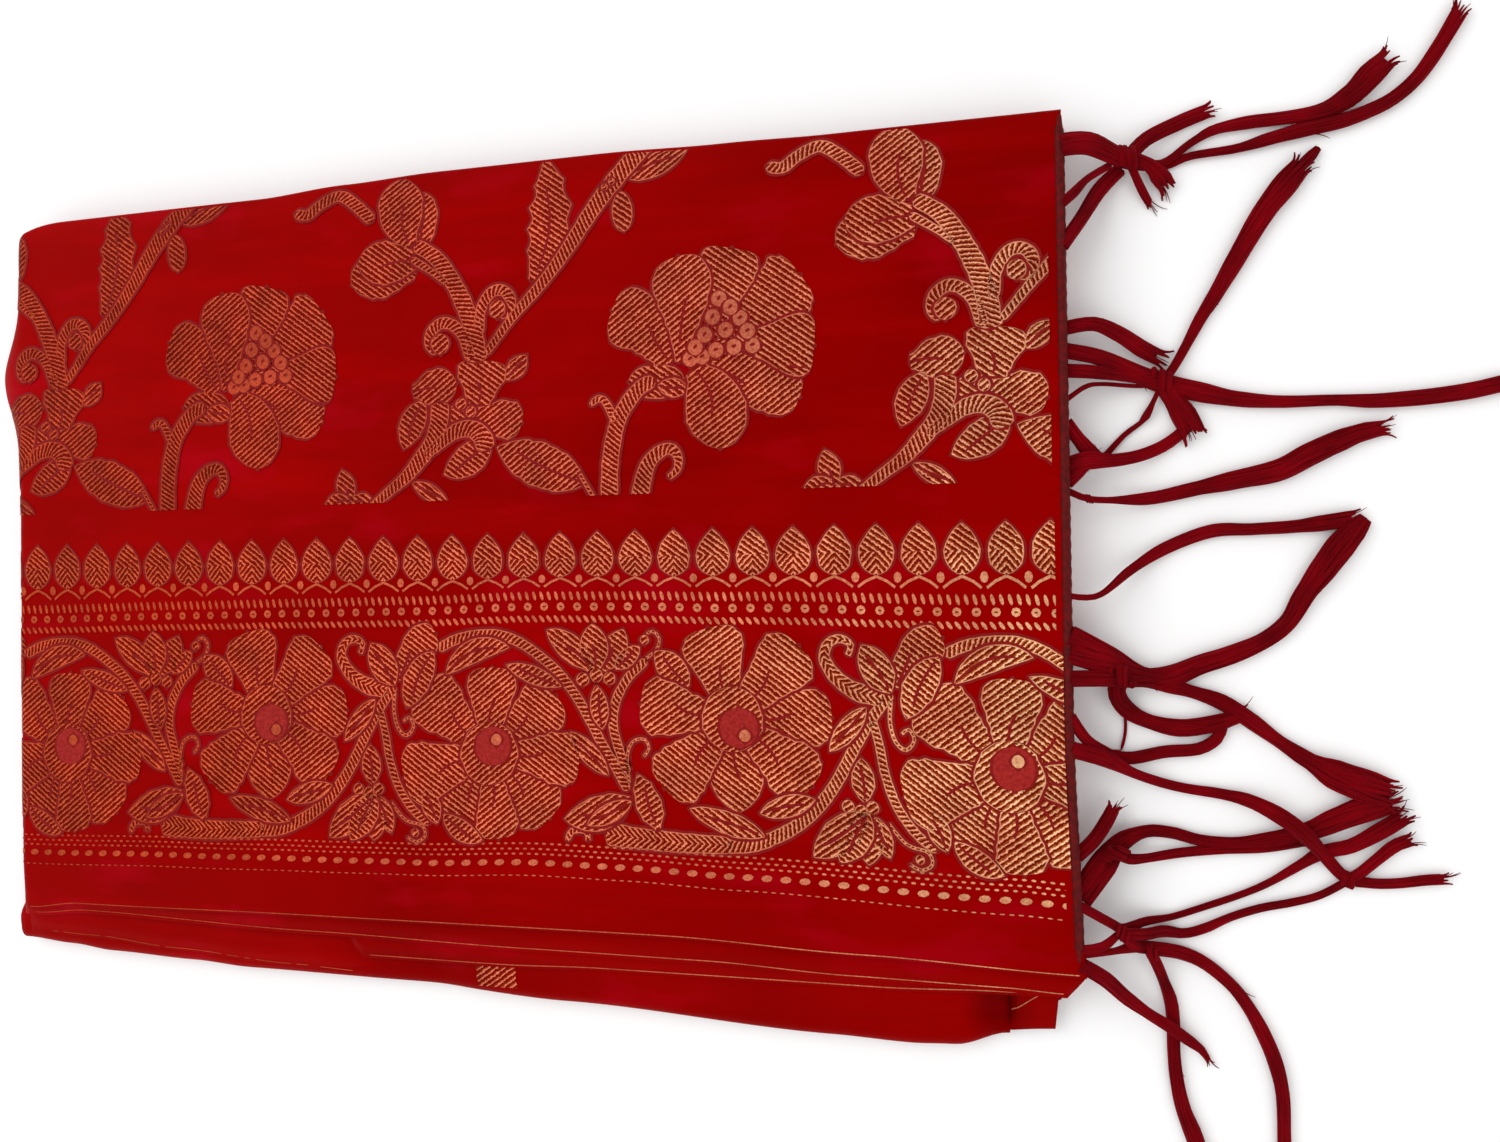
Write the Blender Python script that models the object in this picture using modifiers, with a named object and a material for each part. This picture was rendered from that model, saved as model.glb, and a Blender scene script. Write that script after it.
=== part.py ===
# A long shawl of thin silk, folded flat into a packet: the patterned face ply lies on top, the selvedges
# and the centre fold step out along the front, and knotted fringe hangs from the cut ends on the right.
# +X runs along the packet towards the fringe, +Y towards the nested back folds, +Z up from the surface.
# The tables and formulas are in millimetres. Each finished mesh is scaled to metres once.
import math

import bmesh
import bpy
from mathutils import Vector

MM = 0.001

# Packet
PLY_LENGTH = 318.0          # right cut end to left fold
PLY_WIDTH = 215.0           # front selvedge to back fold
STACK_HEIGHT = 14.0
WALL = 1.0                  # cloth wall
GAP = 0.3                   # air between neighbouring pieces
PITCH = WALL + 0.4          # one ply down in the stack

X_LEFT = -PLY_LENGTH / 2
X_RIGHT = PLY_LENGTH / 2 - 0.6
Y_FRONT = -PLY_WIDTH / 2
Y_BACK = PLY_WIDTH / 2
BACK_CORNER = 12.0          # how far the rounded back left corner reaches along X
FOLD_OUT = 4.2              # how far the left fold stands out past the plies' end
FOLD_BULGE = 6.2            # extra reach where the left fold bellies out
BULGE_AT = 57.0             # the belly's middle, along Y
WRAP_ANGLE = math.radians(150)

BACK_LIP = 1.1              # the face ply turns down this much at its back fold

# Strips that step out along the front start under the face ply, behind this line
STRIP_BACK = -74.0

# Solid of the hidden plies
RIM = 2.6                   # its top stops this far inside the packet's outline
STEP_LINE = -70.6           # in front of this line its top steps down under the strips
STEP_WIDTH = 1.8
SCALLOP = 0.75              # how far a nest of folds stands out of the rim
SOLID_COLUMNS = 22
SOLID_ROWS = 16
SOLID_STEP_ROW = 5
RIM_LEVELS = 11

# Front edge of each ply that shows there: rows of (x, y)
FACE_EDGE = ((-159, -107.6), (-140, -105.6), (-60, -104.9), (60, -105.2), (104, -107.3), (158, -109.0))
PLY_1_EDGE = ((-159, -109.8), (-140, -108.4), (-60, -110.2), (8, -111.7), (100, -112.2), (158, -113.8))
PLY_2_EDGE = ((-52, -106.0), (-40, -115.6), (30, -115.8), (105, -116.0), (158, -114.6))
PLY_3_EDGE = ((-157, -115.8), (-128, -116.8), (-85, -119.4), (-40, -121.2), (-28, -108.0))
NOSE_EDGE = (
    (-163, -118.2), (-136, -119.4), (-86, -123.2), (-29, -123.4), (18, -126.6), (95, -129.2), (127, -129.4),
    (140, -126.0),
)

# Turned corner at the front right, seen from above
CORNER_BACK = -99.0
CORNER_LEFT = 141.0
CORNER_RIGHT = 156.0
CORNER_FRONT_LEFT = -124.6
CORNER_FRONT_RIGHT = -123.2

# Fringe
HEADING_WIDTH = 2.0
HEADING_HEIGHT = 1.7
HEADING_X = X_RIGHT + GAP
FLOOR_CLEARANCE = 0.6       # under a strand that lies flat
UPPER_Z = 13.1              # middle of the heading on the face ply's cut end
LOWER_Z = 9.9               # middle of the heading on the cut end below it
DROP_LENGTH = 26.0          # a strand reaches the surface this far from its heading
STRAND_STEP = 6.5
HEADING_PIECES = 16

# Strands: name, start, thickness at the start and at the end, route of (x, y, lift over a crossing).
# A start is a place along the heading, or the knot that the strand leaves.
UPPER_STRANDS = (
    ("a_3", 99.0, 4.4, 3.2, ((165.5, 100.5, 0), (174.0, 98.5, 0), (186.0, 97.6, 0), (196.0, 99.0, 0),
                             (212.0, 102.2, 0), (226.0, 105.8, 0), (237.0, 108.5, 0), (243.0, 113.0, 0),
                             (247.5, 120.0, 0), (251.5, 128.0, 0))),
    ("a_low", 76.0, 3.2, 2.8, ((162.5, 80.5, 0), (166.5, 88.0, 0), (171.0, 94.2, 0))),
    ("a_thin", 86.0, 1.8, 1.8, ((162.5, 90.0, 0), (165.0, 93.6, 0), (168.8, 96.0, 0))),
    ("a_2", "a", 3.4, 3.8, ((180.4, 92.6, 0), (185.6, 87.6, 0))),
    ("a_2b", "a", 1.8, 1.8, ((175.5, 91.0, 0), (177.4, 85.5, 0))),
    ("a_4", "a", 2.4, 2.6, ((184.5, 101.6, 0), (191.0, 103.4, 0), (200.0, 106.0, 0), (213.0, 107.6, 0),
                            (222.0, 110.2, 0), (230.0, 114.0, 0), (237.0, 118.5, 0))),
    ("a_1", "a", 3.0, 2.8, ((176.6, 105.0, 0), (182.0, 107.6, 0), (189.0, 110.0, 0), (196.0, 111.2, 0))),
    ("c_1", -14.0, 2.6, 3.8, ((165.0, -15.0, 0), (172.0, -9.5, 0), (182.0, -2.8, 0), (192.0, 0.6, 0),
                              (204.0, 2.8, 0), (216.0, 3.4, 0), (225.0, 5.4, 0), (230.4, 3.4, 0),
                              (226.0, -1.8, 0), (218.0, -10.5, 0), (212.0, -18.0, 0), (206.0, -24.4, 0),
                              (198.0, -28.4, 0), (186.0, -30.6, 0), (178.0, -31.0, 0))),
    ("c_4", -24.0, 4.2, 4.6, ((165.0, -28.2, 0), (172.0, -33.0, 0), (180.0, -36.6, 0), (186.0, -38.8, 0),
                              (197.0, -43.2, 0), (209.0, -50.0, 0), (220.0, -57.0, 0), (227.0, -59.8, 0),
                              (233.5, -61.0, 0))),
    ("c_2", -37.0, 3.8, 3.4, ((163.5, -36.8, 0), (167.0, -35.8, 0))),
    ("c_3", "c", 3.2, 2.2, ((172.4, -40.4, 0), (175.0, -44.8, 0), (181.0, -47.4, 0), (190.0, -48.6, 0),
                            (194.4, -50.8, 0), (189.5, -53.2, 0), (178.0, -53.4, 0))),
    ("c_5", -51.0, 3.0, 3.0, ((165.0, -53.6, 0), (171.0, -56.2, 0), (177.0, -59.8, 0), (185.0, -62.8, 0),
                              (196.0, -64.2, 1.0), (205.0, -67.6, 3.2), (213.5, -72.6, 4.8),
                              (218.4, -77.6, 4.4), (224.5, -84.4, 0), (231.0, -85.2, 0),
                              (238.0, -83.6, 0), (246.5, -82.4, 0))),
    ("c_6", "k", 2.4, 2.6, ((228.6, -80.4, 0), (232.5, -77.4, 0), (238.5, -74.8, 0))),
    ("c_8", -42.5, 2.2, 1.8, ((162.6, -44.4, 0), (163.8, -47.4, 0))),
    ("d_4", -93.5, 2.2, 3.4, ((163.4, -94.8, 0), (170.0, -98.0, 0), (177.0, -95.6, 0), (187.0, -92.6, 0),
                              (196.0, -89.4, 0), (208.0, -83.2, 0), (217.0, -78.4, 0), (226.0, -75.2, 0),
                              (236.0, -72.0, 0))),
    ("e_1", -100.5, 1.8, 1.6, ((163.0, -100.4, 0), (166.2, -99.6, 0))),
    ("d_5", "e", 2.0, 2.0, ((176.0, -100.0, 0), (189.0, -98.8, 0), (197.0, -95.6, 0), (208.0, -90.4, 0),
                            (215.0, -87.8, 0), (220.4, -86.2, 0))),
    ("e_3", -104.6, 3.0, 2.8, ((164.0, -105.4, 0), (171.0, -105.4, 0), (178.0, -105.6, 0), (185.0, -105.6, 0),
                               (190.5, -107.6, 0), (196.5, -112.6, 0), (202.6, -121.0, 0),
                               (206.4, -131.0, 0), (208.4, -143.0, 0), (208.6, -155.0, 0),
                               (206.4, -166.0, 0))),
    ("e_4", "f", 3.0, 3.4, ((181.0, -111.0, 0), (182.4, -117.0, 0), (182.8, -126.0, 0),
                            (183.0, -136.0, 0), (184.8, -146.0, 0), (188.6, -157.0, 0))),
    ("e_5", -108.4, 2.4, 1.6, ((164.4, -110.4, 0), (168.0, -114.4, 0), (172.0, -118.2, 1.4),
                               (177.0, -120.8, 3.6), (183.0, -122.8, 4.4), (187.4, -126.2, 2.4),
                               (192.0, -131.6, 0))),
)
LOWER_STRANDS = (
    ("b_1", 54.0, 3.0, 3.4, ((163.6, 56.4, 0), (168.0, 56.4, 0), (173.5, 54.4, 0), (181.0, 49.6, 0))),
    ("b_3", 47.4, 3.4, 3.4, ((164.5, 48.6, 0), (169.0, 47.0, 0), (174.0, 44.2, 0), (183.0, 40.0, 0),
                             (190.0, 37.6, 0), (197.0, 35.6, 0), (209.0, 34.0, 0), (225.0, 32.8, 0),
                             (241.0, 32.4, 0), (256.0, 34.4, 0), (267.0, 37.6, 0))),
    ("b_4", "b", 2.2, 4.2, ((187.0, 46.4, 0), (191.0, 53.4, 0), (197.0, 63.6, 0), (202.0, 72.6, 0),
                            (207.0, 82.4, 0), (213.0, 90.0, 0), (219.5, 97.0, 0))),
    ("b_5", "b", 3.6, 3.8, ((186.6, 32.4, 0), (190.0, 27.4, 0), (193.6, 22.8, 0))),
    ("b_6", 36.6, 1.8, 1.8, ((162.6, 39.2, 0), (168.0, 40.4, 0), (173.0, 39.4, 0), (178.4, 38.4, 0))),
    ("b_7", "b", 1.6, 1.2, ((180.2, 34.0, 0), (176.4, 30.0, 0), (171.8, 26.8, 0))),
    ("b_8", 29.5, 1.8, 1.6, ((161.8, 26.6, 0), (165.8, 23.2, 0))),
    ("b_10", 18.6, 2.8, 2.6, ((163.4, 18.8, 0), (169.0, 20.6, 0), (175.0, 21.0, 0), (180.0, 22.4, 0),
                              (184.0, 25.8, 0))),
    ("b_11", 10.6, 2.2, 3.4, ((165.0, 9.8, 0), (178.0, 10.6, 0), (193.0, 13.2, 0), (205.0, 15.4, 0),
                              (213.0, 18.2, 0), (224.0, 24.4, 0), (235.0, 26.6, 0))),
    ("d_2", -89.6, 4.2, 4.6, ((165.4, -86.6, 0), (169.8, -78.2, 0), (175.8, -73.8, 0), (182.0, -73.0, 0),
                              (196.0, -76.0, 0), (205.0, -76.0, 0), (213.0, -73.4, 0), (222.0, -69.2, 0),
                              (231.0, -66.8, 0), (240.0, -66.8, 0))),
    ("d_1", -78.0, 3.0, 3.2, ((163.8, -75.2, 0), (165.2, -70.6, 0), (168.4, -65.0, 0))),
    ("d_3", "d", 2.0, 2.0, ((175.0, -80.0, 0), (181.0, -80.4, 0), (188.5, -79.6, 0))),
)
# Knots: name, the strand that it is tied in, which point of its route, radius
KNOTS = (
    ("a", "a_3", 1, 3.4),
    ("b", "b_3", 3, 3.4),
    ("c", "c_4", 1, 3.8),
    ("d", "d_2", 1, 3.1),
    ("e", "d_4", 1, 2.6),
    ("f", "e_3", 2, 2.5),
    ("k", "c_5", 8, 2.6),
    ("m", "b_10", 1, 2.4),
    ("n", "b_11", 0, 1.9),
)

# Colours of the viewport materials, roughness
SILK_RED = ((0.42, 0.005, 0.012, 1.0), 0.45)
DEEP_RED = ((0.34, 0.004, 0.012, 1.0), 0.5)
FRINGE_MAROON = ((0.16, 0.004, 0.018, 1.0), 0.75)


def smooth(t):
    t = min(1.0, max(0.0, t))
    return t * t * (3 - 2 * t)


def along(table, x):
    # value of a two-column table at x, eased between its rows
    if x <= table[0][0]:
        return table[0][1]
    for (x0, y0), (x1, y1) in zip(table, table[1:]):
        if x <= x1:
            return y0 + (y1 - y0) * smooth((x - x0) / (x1 - x0))
    return table[-1][1]


def trough_line(x):
    # the long shallow trough runs straight, then drifts forward towards the fringe
    return 52.0 - 16.0 * max(0.0, (x + 60.0) / 202.0) ** 2


def height(x, y):
    # top of the face ply
    z = STACK_HEIGHT
    z -= 0.9 * math.exp(-((y - trough_line(x)) / 11.0) ** 2)
    z += 0.35 * math.sin(x / 41.0 + 0.6) * math.cos(y / 33.0)
    z -= 1.3 * max(0.0, (y - 96.0) / 11.5) ** 2
    z -= 1.5 * max(0.0, (-92.0 - y) / 18.0) ** 1.5
    return z


def right_end(y):
    # the cut ends lean out a little towards the front
    return X_RIGHT + 1.6 * smooth((-45.0 - y) / 60.0)


def fold_reach(y):
    # how far the left fold stands out past X_LEFT at y
    belly = math.exp(-((y - BULGE_AT) / 13.0) ** 2)
    return FOLD_OUT + FOLD_BULGE * belly


def back_line(x):
    # back edge of the packet, rounded into the left fold
    t = min(1.0, max(0.0, (X_LEFT + BACK_CORNER - x) / (BACK_CORNER + FOLD_OUT)))
    return Y_BACK - 6.5 * (1 - math.sqrt(1 - t * t))


def grid(columns, rows):
    # an open sheet of faces: returns its bmesh and each vertex with its place from 0 to 1 both ways
    bm = bmesh.new()
    bmesh.ops.create_grid(bm, x_segments=columns, y_segments=rows, size=0.5)
    places = [(v, v.co.x + 0.5, v.co.y + 0.5) for v in bm.verts]
    return bm, places


def material(name, finish):
    colour, roughness = finish
    mat = bpy.data.materials.new(name)
    mat.use_nodes = True
    mat.diffuse_color = colour
    shader = mat.node_tree.nodes["Principled BSDF"]
    shader.inputs["Base Color"].default_value = colour
    shader.inputs["Roughness"].default_value = roughness
    shader.inputs["Metallic"].default_value = 0.0
    return mat


def add_object(name, bm, collection, finish):
    bmesh.ops.scale(bm, vec=(MM, MM, MM), verts=bm.verts)
    mesh = bpy.data.meshes.new(name)
    bm.to_mesh(mesh)
    bm.free()
    mesh.shade_smooth()
    mesh.set_sharp_from_angle(angle=math.radians(50))
    obj = bpy.data.objects.new(name, mesh)
    collection.objects.link(obj)
    mesh.materials.append(material(name, finish))
    return obj


def add_sheet(name, bm, collection, finish):
    # an open sheet drawn on its outer side gets its wall inwards
    obj = add_object(name, bm, collection, finish)
    wall = obj.modifiers.new("wall", "SOLIDIFY")
    wall.thickness = WALL * MM
    wall.offset = -1.0
    wall.use_even_offset = True
    return obj


def fold_point(y, top, reach, angle):
    # a point round the left fold: a half ellipse from the top of the stack down towards the surface
    half = top / 2
    return X_LEFT - reach * math.sin(angle), half + half * math.cos(angle)


# ---- face ply: flat over the packet, then down round the left fold ----
def build_face_ply(collection):
    flat_columns, fold_columns, rows = 22, 8, 18
    columns = flat_columns + fold_columns
    bm, places = grid(columns, rows)
    for v, u, w in places:
        column = round(u * columns)
        if column >= fold_columns:
            t = (column - fold_columns) / flat_columns
            x = X_LEFT + (right_end(0) - X_LEFT) * t
            angle = 0.0
        else:
            x = X_LEFT
            angle = WRAP_ANGLE * (fold_columns - column) / fold_columns
        nose_x = X_LEFT - FOLD_OUT * math.sin(angle)
        front = along(FACE_EDGE, x)
        back = back_line(nose_x if angle else x)
        row = round(w * rows)
        if row == rows:
            y = back
        else:
            y = front + (back - 1.0 - front) * row / (rows - 1)
        if angle == 0.0:
            x += (right_end(y) - right_end(0)) * smooth(x / X_RIGHT)
            z = height(x, y) - (BACK_LIP if row == rows else 0.0)
        else:
            x, z = fold_point(y, height(X_LEFT, y), fold_reach(y), angle)
        v.co = (x, y, z)
    return add_sheet("face_ply", bm, collection, SILK_RED)


# ---- plies that step out along the front ----
def build_front_strip(name, edge, depth, x_from, x_to, collection, finish):
    columns, rows = 22, 4
    bm, places = grid(columns, rows)
    for v, u, w in places:
        x = x_from + (x_to - x_from) * u
        front = along(edge, x)
        y = front + (STRIP_BACK - front) * w
        x += (right_end(y) - right_end(0)) * smooth(x / X_RIGHT)
        v.co = (x, y, height(x, y) - depth)
    return add_sheet(name, bm, collection, finish)


def centre_top(x, y):
    # top of the centre fold: four plies down at the left, three where the strip above it has ended,
    # with a hollow beside the turned corner
    depth = PITCH * (4 - smooth((x + 22.0) / 14.0))
    hollow = 2.6 * math.exp(-((x - 134.0) / 8.0) ** 2 - ((y + 118.0) / 6.0) ** 2)
    return height(x, y) - depth - hollow


def build_centre_fold(collection):
    columns, leg_rows, nose_rows = 24, 4, 6
    rows = leg_rows + nose_rows
    reach = 4.0
    bm, places = grid(columns, rows)
    for v, u, w in places:
        row = rows - round(w * rows)
        x_from = X_LEFT + 2.0 if row < leg_rows else X_LEFT - 2.6
        x_to = CORNER_LEFT - 1.0
        x = x_from + (x_to - x_from) * u
        nose = along(NOSE_EDGE, x) + reach
        if row <= leg_rows:
            y = STRIP_BACK + (nose - STRIP_BACK) * row / leg_rows
            z = centre_top(x, y)
        else:
            angle = WRAP_ANGLE * (row - leg_rows) / nose_rows
            half = centre_top(x, nose) / 2
            y = nose - reach * math.sin(angle)
            z = half + half * math.cos(angle)
        v.co = (x, y, z)
    return add_sheet("centre_fold", bm, collection, DEEP_RED)


def build_turned_corner(collection):
    bm, places = grid(5, 5)
    for v, u, w in places:
        x = CORNER_LEFT + (CORNER_RIGHT - CORNER_LEFT) * u
        front = CORNER_FRONT_LEFT + (CORNER_FRONT_RIGHT - CORNER_FRONT_LEFT) * u
        y = front + (CORNER_BACK - front) * w
        x -= 2.4 * (1 - w) * u
        z = height(x, y) - 3 * PITCH - 2.2 * (1 - w) ** 2 - 0.8 * u * (1 - w)
        v.co = (x, y, z)
    return add_sheet("turned_corner", bm, collection, DEEP_RED)


# ---- the hidden plies: one rounded solid, with a scallop for each nest of folds round its rim ----
def solid_top(x, y):
    # under the face ply, and further down under the front strips and the centre fold
    if y > STEP_LINE:
        return height(x, y) - PITCH - GAP
    return centre_top(x, y) - PITCH - 0.5 - 1.6 * smooth((x - 112.0) / 14.0)


def solid_point(u, row):
    # a point of the solid's top, by its place along X and its row from the front
    x = X_LEFT + RIM + (right_end(0) - X_LEFT - 2 * RIM) * u
    front = along(NOSE_EDGE, x) + 6.4 + 4.0 * smooth((x - 122.0) / 12.0)
    back = back_line(x - RIM) - RIM
    if row < SOLID_STEP_ROW:
        y = front + (STEP_LINE - STEP_WIDTH - front) * row / (SOLID_STEP_ROW - 1)
    else:
        y = STEP_LINE + 0.01 + (back - STEP_LINE) * (row - SOLID_STEP_ROW) / (SOLID_ROWS - SOLID_STEP_ROW)
    x += (right_end(y) - right_end(0)) * smooth(x / X_RIGHT)
    return Vector((x, y, solid_top(x, y)))


def rim_point(u, row, fall):
    # side wall of the solid below a rim point, where fall is 0 at the top and 1 on the surface: nested
    # scallops on the right and the back, and a round wall inside the left fold and the centre fold
    point = solid_point(u, row)
    x, y = point.x, point.y
    z = point.z * (1 - fall)
    level = round(fall * RIM_LEVELS)
    scallop = SCALLOP if level % 2 and level < RIM_LEVELS else 0.0
    if u < 0.001:
        half = STACK_HEIGHT / 2
        rise = min(1.0, abs(z - half) / (half - WALL - 2 * GAP))
        room = max(0.0, 0.92 * fold_reach(y) - WALL - 4 * GAP) * math.sqrt(1 - rise * rise)
        x = X_LEFT - room * smooth((y - Y_FRONT - 1.0) / 8.0) * smooth((Y_BACK - 2.0 - y) / 8.0)
    elif u > 0.999:
        x += RIM - GAP - SCALLOP + scallop
    if row == SOLID_ROWS:
        y += RIM - GAP - SCALLOP + scallop
    elif row == 0:
        y -= math.sin(math.pi * fall)
    return Vector((x, y, z))


def build_folded_plies(collection):
    bm, places = grid(SOLID_COLUMNS, SOLID_ROWS)
    rim = {}
    for v, u, w in places:
        rim[v] = (u, round(w * SOLID_ROWS))
        v.co = solid_point(*rim[v])
    loop = [e for e in bm.edges if e.is_boundary]
    for level in range(1, RIM_LEVELS + 1):
        made = bmesh.ops.extrude_edge_only(bm, edges=loop)["geom"]
        loop = [g for g in made if isinstance(g, bmesh.types.BMEdge)]
        new_verts = {v for e in loop for v in e.verts}
        for v in new_verts:
            above = next(e.other_vert(v) for e in v.link_edges if e.other_vert(v) not in new_verts)
            rim[v] = rim[above]
        for v in new_verts:
            v.co = rim_point(*rim[v], level / RIM_LEVELS)
    bmesh.ops.contextual_create(bm, geom=loop)
    bmesh.ops.recalc_face_normals(bm, faces=bm.faces)
    return add_object("folded_plies", bm, collection, DEEP_RED)


# ---- fringe: a heading bar with strands drawn out of its face and out of the knots ----
def read_route(points, stations=()):
    # a smooth curve through the points, read about every STRAND_STEP: each reading is a point and its
    # distance from the nearest station, which is the number of one of the points
    padded = [points[0]] + list(points) + [points[-1]]
    readings = [(points[0].copy(), 0 in stations)]
    for n, (a, b, c, d) in enumerate(zip(padded, padded[1:], padded[2:], padded[3:])):
        steps = max(1, round((c - b).length / STRAND_STEP))
        for i in range(1, steps + 1):
            t = i / steps
            point = 0.5 * (2 * b + (c - a) * t + (2 * a - 5 * b + 4 * c - d) * t * t
                           + (3 * b - a - 3 * c + d) * t ** 3)
            readings.append((point, i == steps and n + 1 in stations))
    return readings


def with_knot(readings, radii, knot_radius):
    # swell the strand into a ball where the knot is: five rings take the place of what is near it
    at = next(i for i, (_, tied) in enumerate(readings) if tied)
    points = [p for p, _ in readings]
    centre = points[at]
    before = (points[at - 1] - centre).normalized()
    after = (points[at + 1] - centre).normalized()
    clear = 1.5 * knot_radius
    head = [(p, r) for p, r in zip(points[:at], radii) if (p - centre).length > clear or p is points[0]]
    tail = [(p, r) for p, r in zip(points[at + 1:], radii[at + 1:]) if (p - centre).length > clear]
    ball = [
        (centre + before * knot_radius * 1.0, radii[at]),
        (centre + before * knot_radius * 0.6, knot_radius * 0.86),
        (centre, knot_radius),
        (centre + after * knot_radius * 0.6, knot_radius * 0.86),
        (centre + after * knot_radius * 1.0, radii[at]),
    ]
    rows = head + ball + tail
    return [p for p, _ in rows], [r for _, r in rows], len(head) + 2


def draw_strand(bm, face, points, radii, knot_at=None):
    # pull a four-sided face along the points, turning it as little as the route allows, and return the
    # side faces of the knot
    across = face.loops[0].vert.co - face.calc_center_median()
    sides = []
    for i in range(1, len(points)):
        ahead = points[min(i + 1, len(points) - 1)] - points[i - 1]
        axis = ahead.normalized()
        across = (across - axis * across.dot(axis)).normalized()
        side = axis.cross(across)
        face = bmesh.ops.extrude_discrete_faces(bm, faces=[face])["faces"][0]
        for k, loop in enumerate(face.loops):
            turn = k * math.pi / 2
            loop.vert.co = points[i] + (across * math.cos(turn) + side * math.sin(turn)) * radii[i]
        if knot_at is not None and i in (knot_at, knot_at + 1):
            sides += [f for e in face.edges for f in e.link_faces if f is not face]
    return sides


def draw_heading(bm, heading_z, roots):
    # a rectangle pushed along Y, cut where a strand is rooted: returns its outer faces by their middle
    ends = (Y_FRONT - 2.6, Y_BACK - 1.5)
    cuts = {y + side * width / 2 for y, width in roots for side in (-1, 1)}
    cuts |= {ends[0] + (ends[1] - ends[0]) * i / HEADING_PIECES for i in range(HEADING_PIECES + 1)}
    cuts = [y for y in sorted(cuts) if not any(abs(y - r) < w / 2 - 0.01 for r, w in roots)]
    corners = ((0, -1), (1, -1), (1, 1), (0, 1))
    bmesh.ops.create_grid(bm, x_segments=1, y_segments=1, size=0.5)
    face = bm.faces[:][0]
    for n, y in enumerate(cuts):
        if n:
            face = bmesh.ops.extrude_discrete_faces(bm, faces=[face])["faces"][0]
        sag = height(X_RIGHT, y) - height(X_RIGHT, 0)
        for loop, (dx, dz) in zip(face.loops, corners):
            x = right_end(y) + GAP + dx * HEADING_WIDTH
            loop.vert.co = (x, y, heading_z + sag + dz * HEADING_HEIGHT / 2)
    bmesh.ops.holes_fill(bm, edges=[e for e in bm.edges if e.is_boundary], sides=4)
    bmesh.ops.recalc_face_normals(bm, faces=bm.faces)
    return {round(f.calc_center_median().y, 2): f for f in bm.faces if f.normal.x > 0.9}


def build_fringe(name, heading_z, strands, collection):
    bm = bmesh.new()
    roots = [(start, width) for _, start, width, _, _ in strands if not isinstance(start, str)]
    heading = draw_heading(bm, heading_z, roots)
    knots = {strand: (knot, index, radius) for knot, strand, index, radius in KNOTS}
    balls = {}
    rooted = [row for row in strands if not isinstance(row[1], str)]
    tails = [row for row in strands if isinstance(row[1], str)]
    for strand, start, thick, thin, route in rooted + tails:
        if isinstance(start, str):
            centre, faces = balls[start]
            towards = (Vector((route[0][0], route[0][1], centre.z)) - centre).normalized()
            face = max(faces, key=lambda f: (f.calc_center_median() - centre).normalized().dot(towards))
            faces.remove(face)
            drop = DROP_LENGTH / 2
        else:
            face = heading[round(start, 2)]
            drop = DROP_LENGTH
        first = face.calc_center_median()
        knot, index, knot_radius = knots.get(strand, (None, None, 0.0))
        lie = FLOOR_CLEARANCE + max(thick, thin) / 2
        points, run, here = [first], 0.0, first.xy
        for n, (x, y, lift) in enumerate(route):
            run += (Vector((x, y)) - here).length
            here = Vector((x, y))
            z = first.z + (lie - first.z) * smooth(run / drop)
            low = FLOOR_CLEARANCE + knot_radius if n == index else lie
            points.append(Vector((x, y, max(z, low) + lift)))
        readings = read_route(points, () if knot is None else (index + 1,))
        radii = [(thick + (thin - thick) * i / (len(readings) - 1)) / 2 for i in range(len(readings))]
        radii[-1] *= 0.6
        if knot is None:
            draw_strand(bm, face, [p for p, _ in readings], radii)
        else:
            path, radii, at = with_knot(readings, radii, knot_radius)
            balls[knot] = (path[at], draw_strand(bm, face, path, radii, at))
    bmesh.ops.recalc_face_normals(bm, faces=bm.faces)
    return add_object(name, bm, collection, FRINGE_MAROON)


def clear_scene():
    for obj in list(bpy.data.objects):
        bpy.data.objects.remove(obj, do_unlink=True)


def main():
    clear_scene()
    collection = bpy.data.collections.new("folded_dupatta")
    bpy.context.scene.collection.children.link(collection)
    build_face_ply(collection)
    build_front_strip("selvedge_ply_1", PLY_1_EDGE, PITCH, X_LEFT + 1.0, X_RIGHT, collection, SILK_RED)
    build_front_strip("selvedge_ply_2", PLY_2_EDGE, 2 * PITCH, -52.0, X_RIGHT, collection, SILK_RED)
    build_front_strip("selvedge_ply_3", PLY_3_EDGE, 3 * PITCH, X_LEFT + 2.0, -28.0, collection, SILK_RED)
    build_centre_fold(collection)
    build_turned_corner(collection)
    build_folded_plies(collection)
    build_fringe("fringe_upper", UPPER_Z, UPPER_STRANDS, collection)
    build_fringe("fringe_lower", LOWER_Z, LOWER_STRANDS, collection)


main()
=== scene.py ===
import math
import random

import bmesh
import bpy
from mathutils import Matrix, Vector


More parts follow.
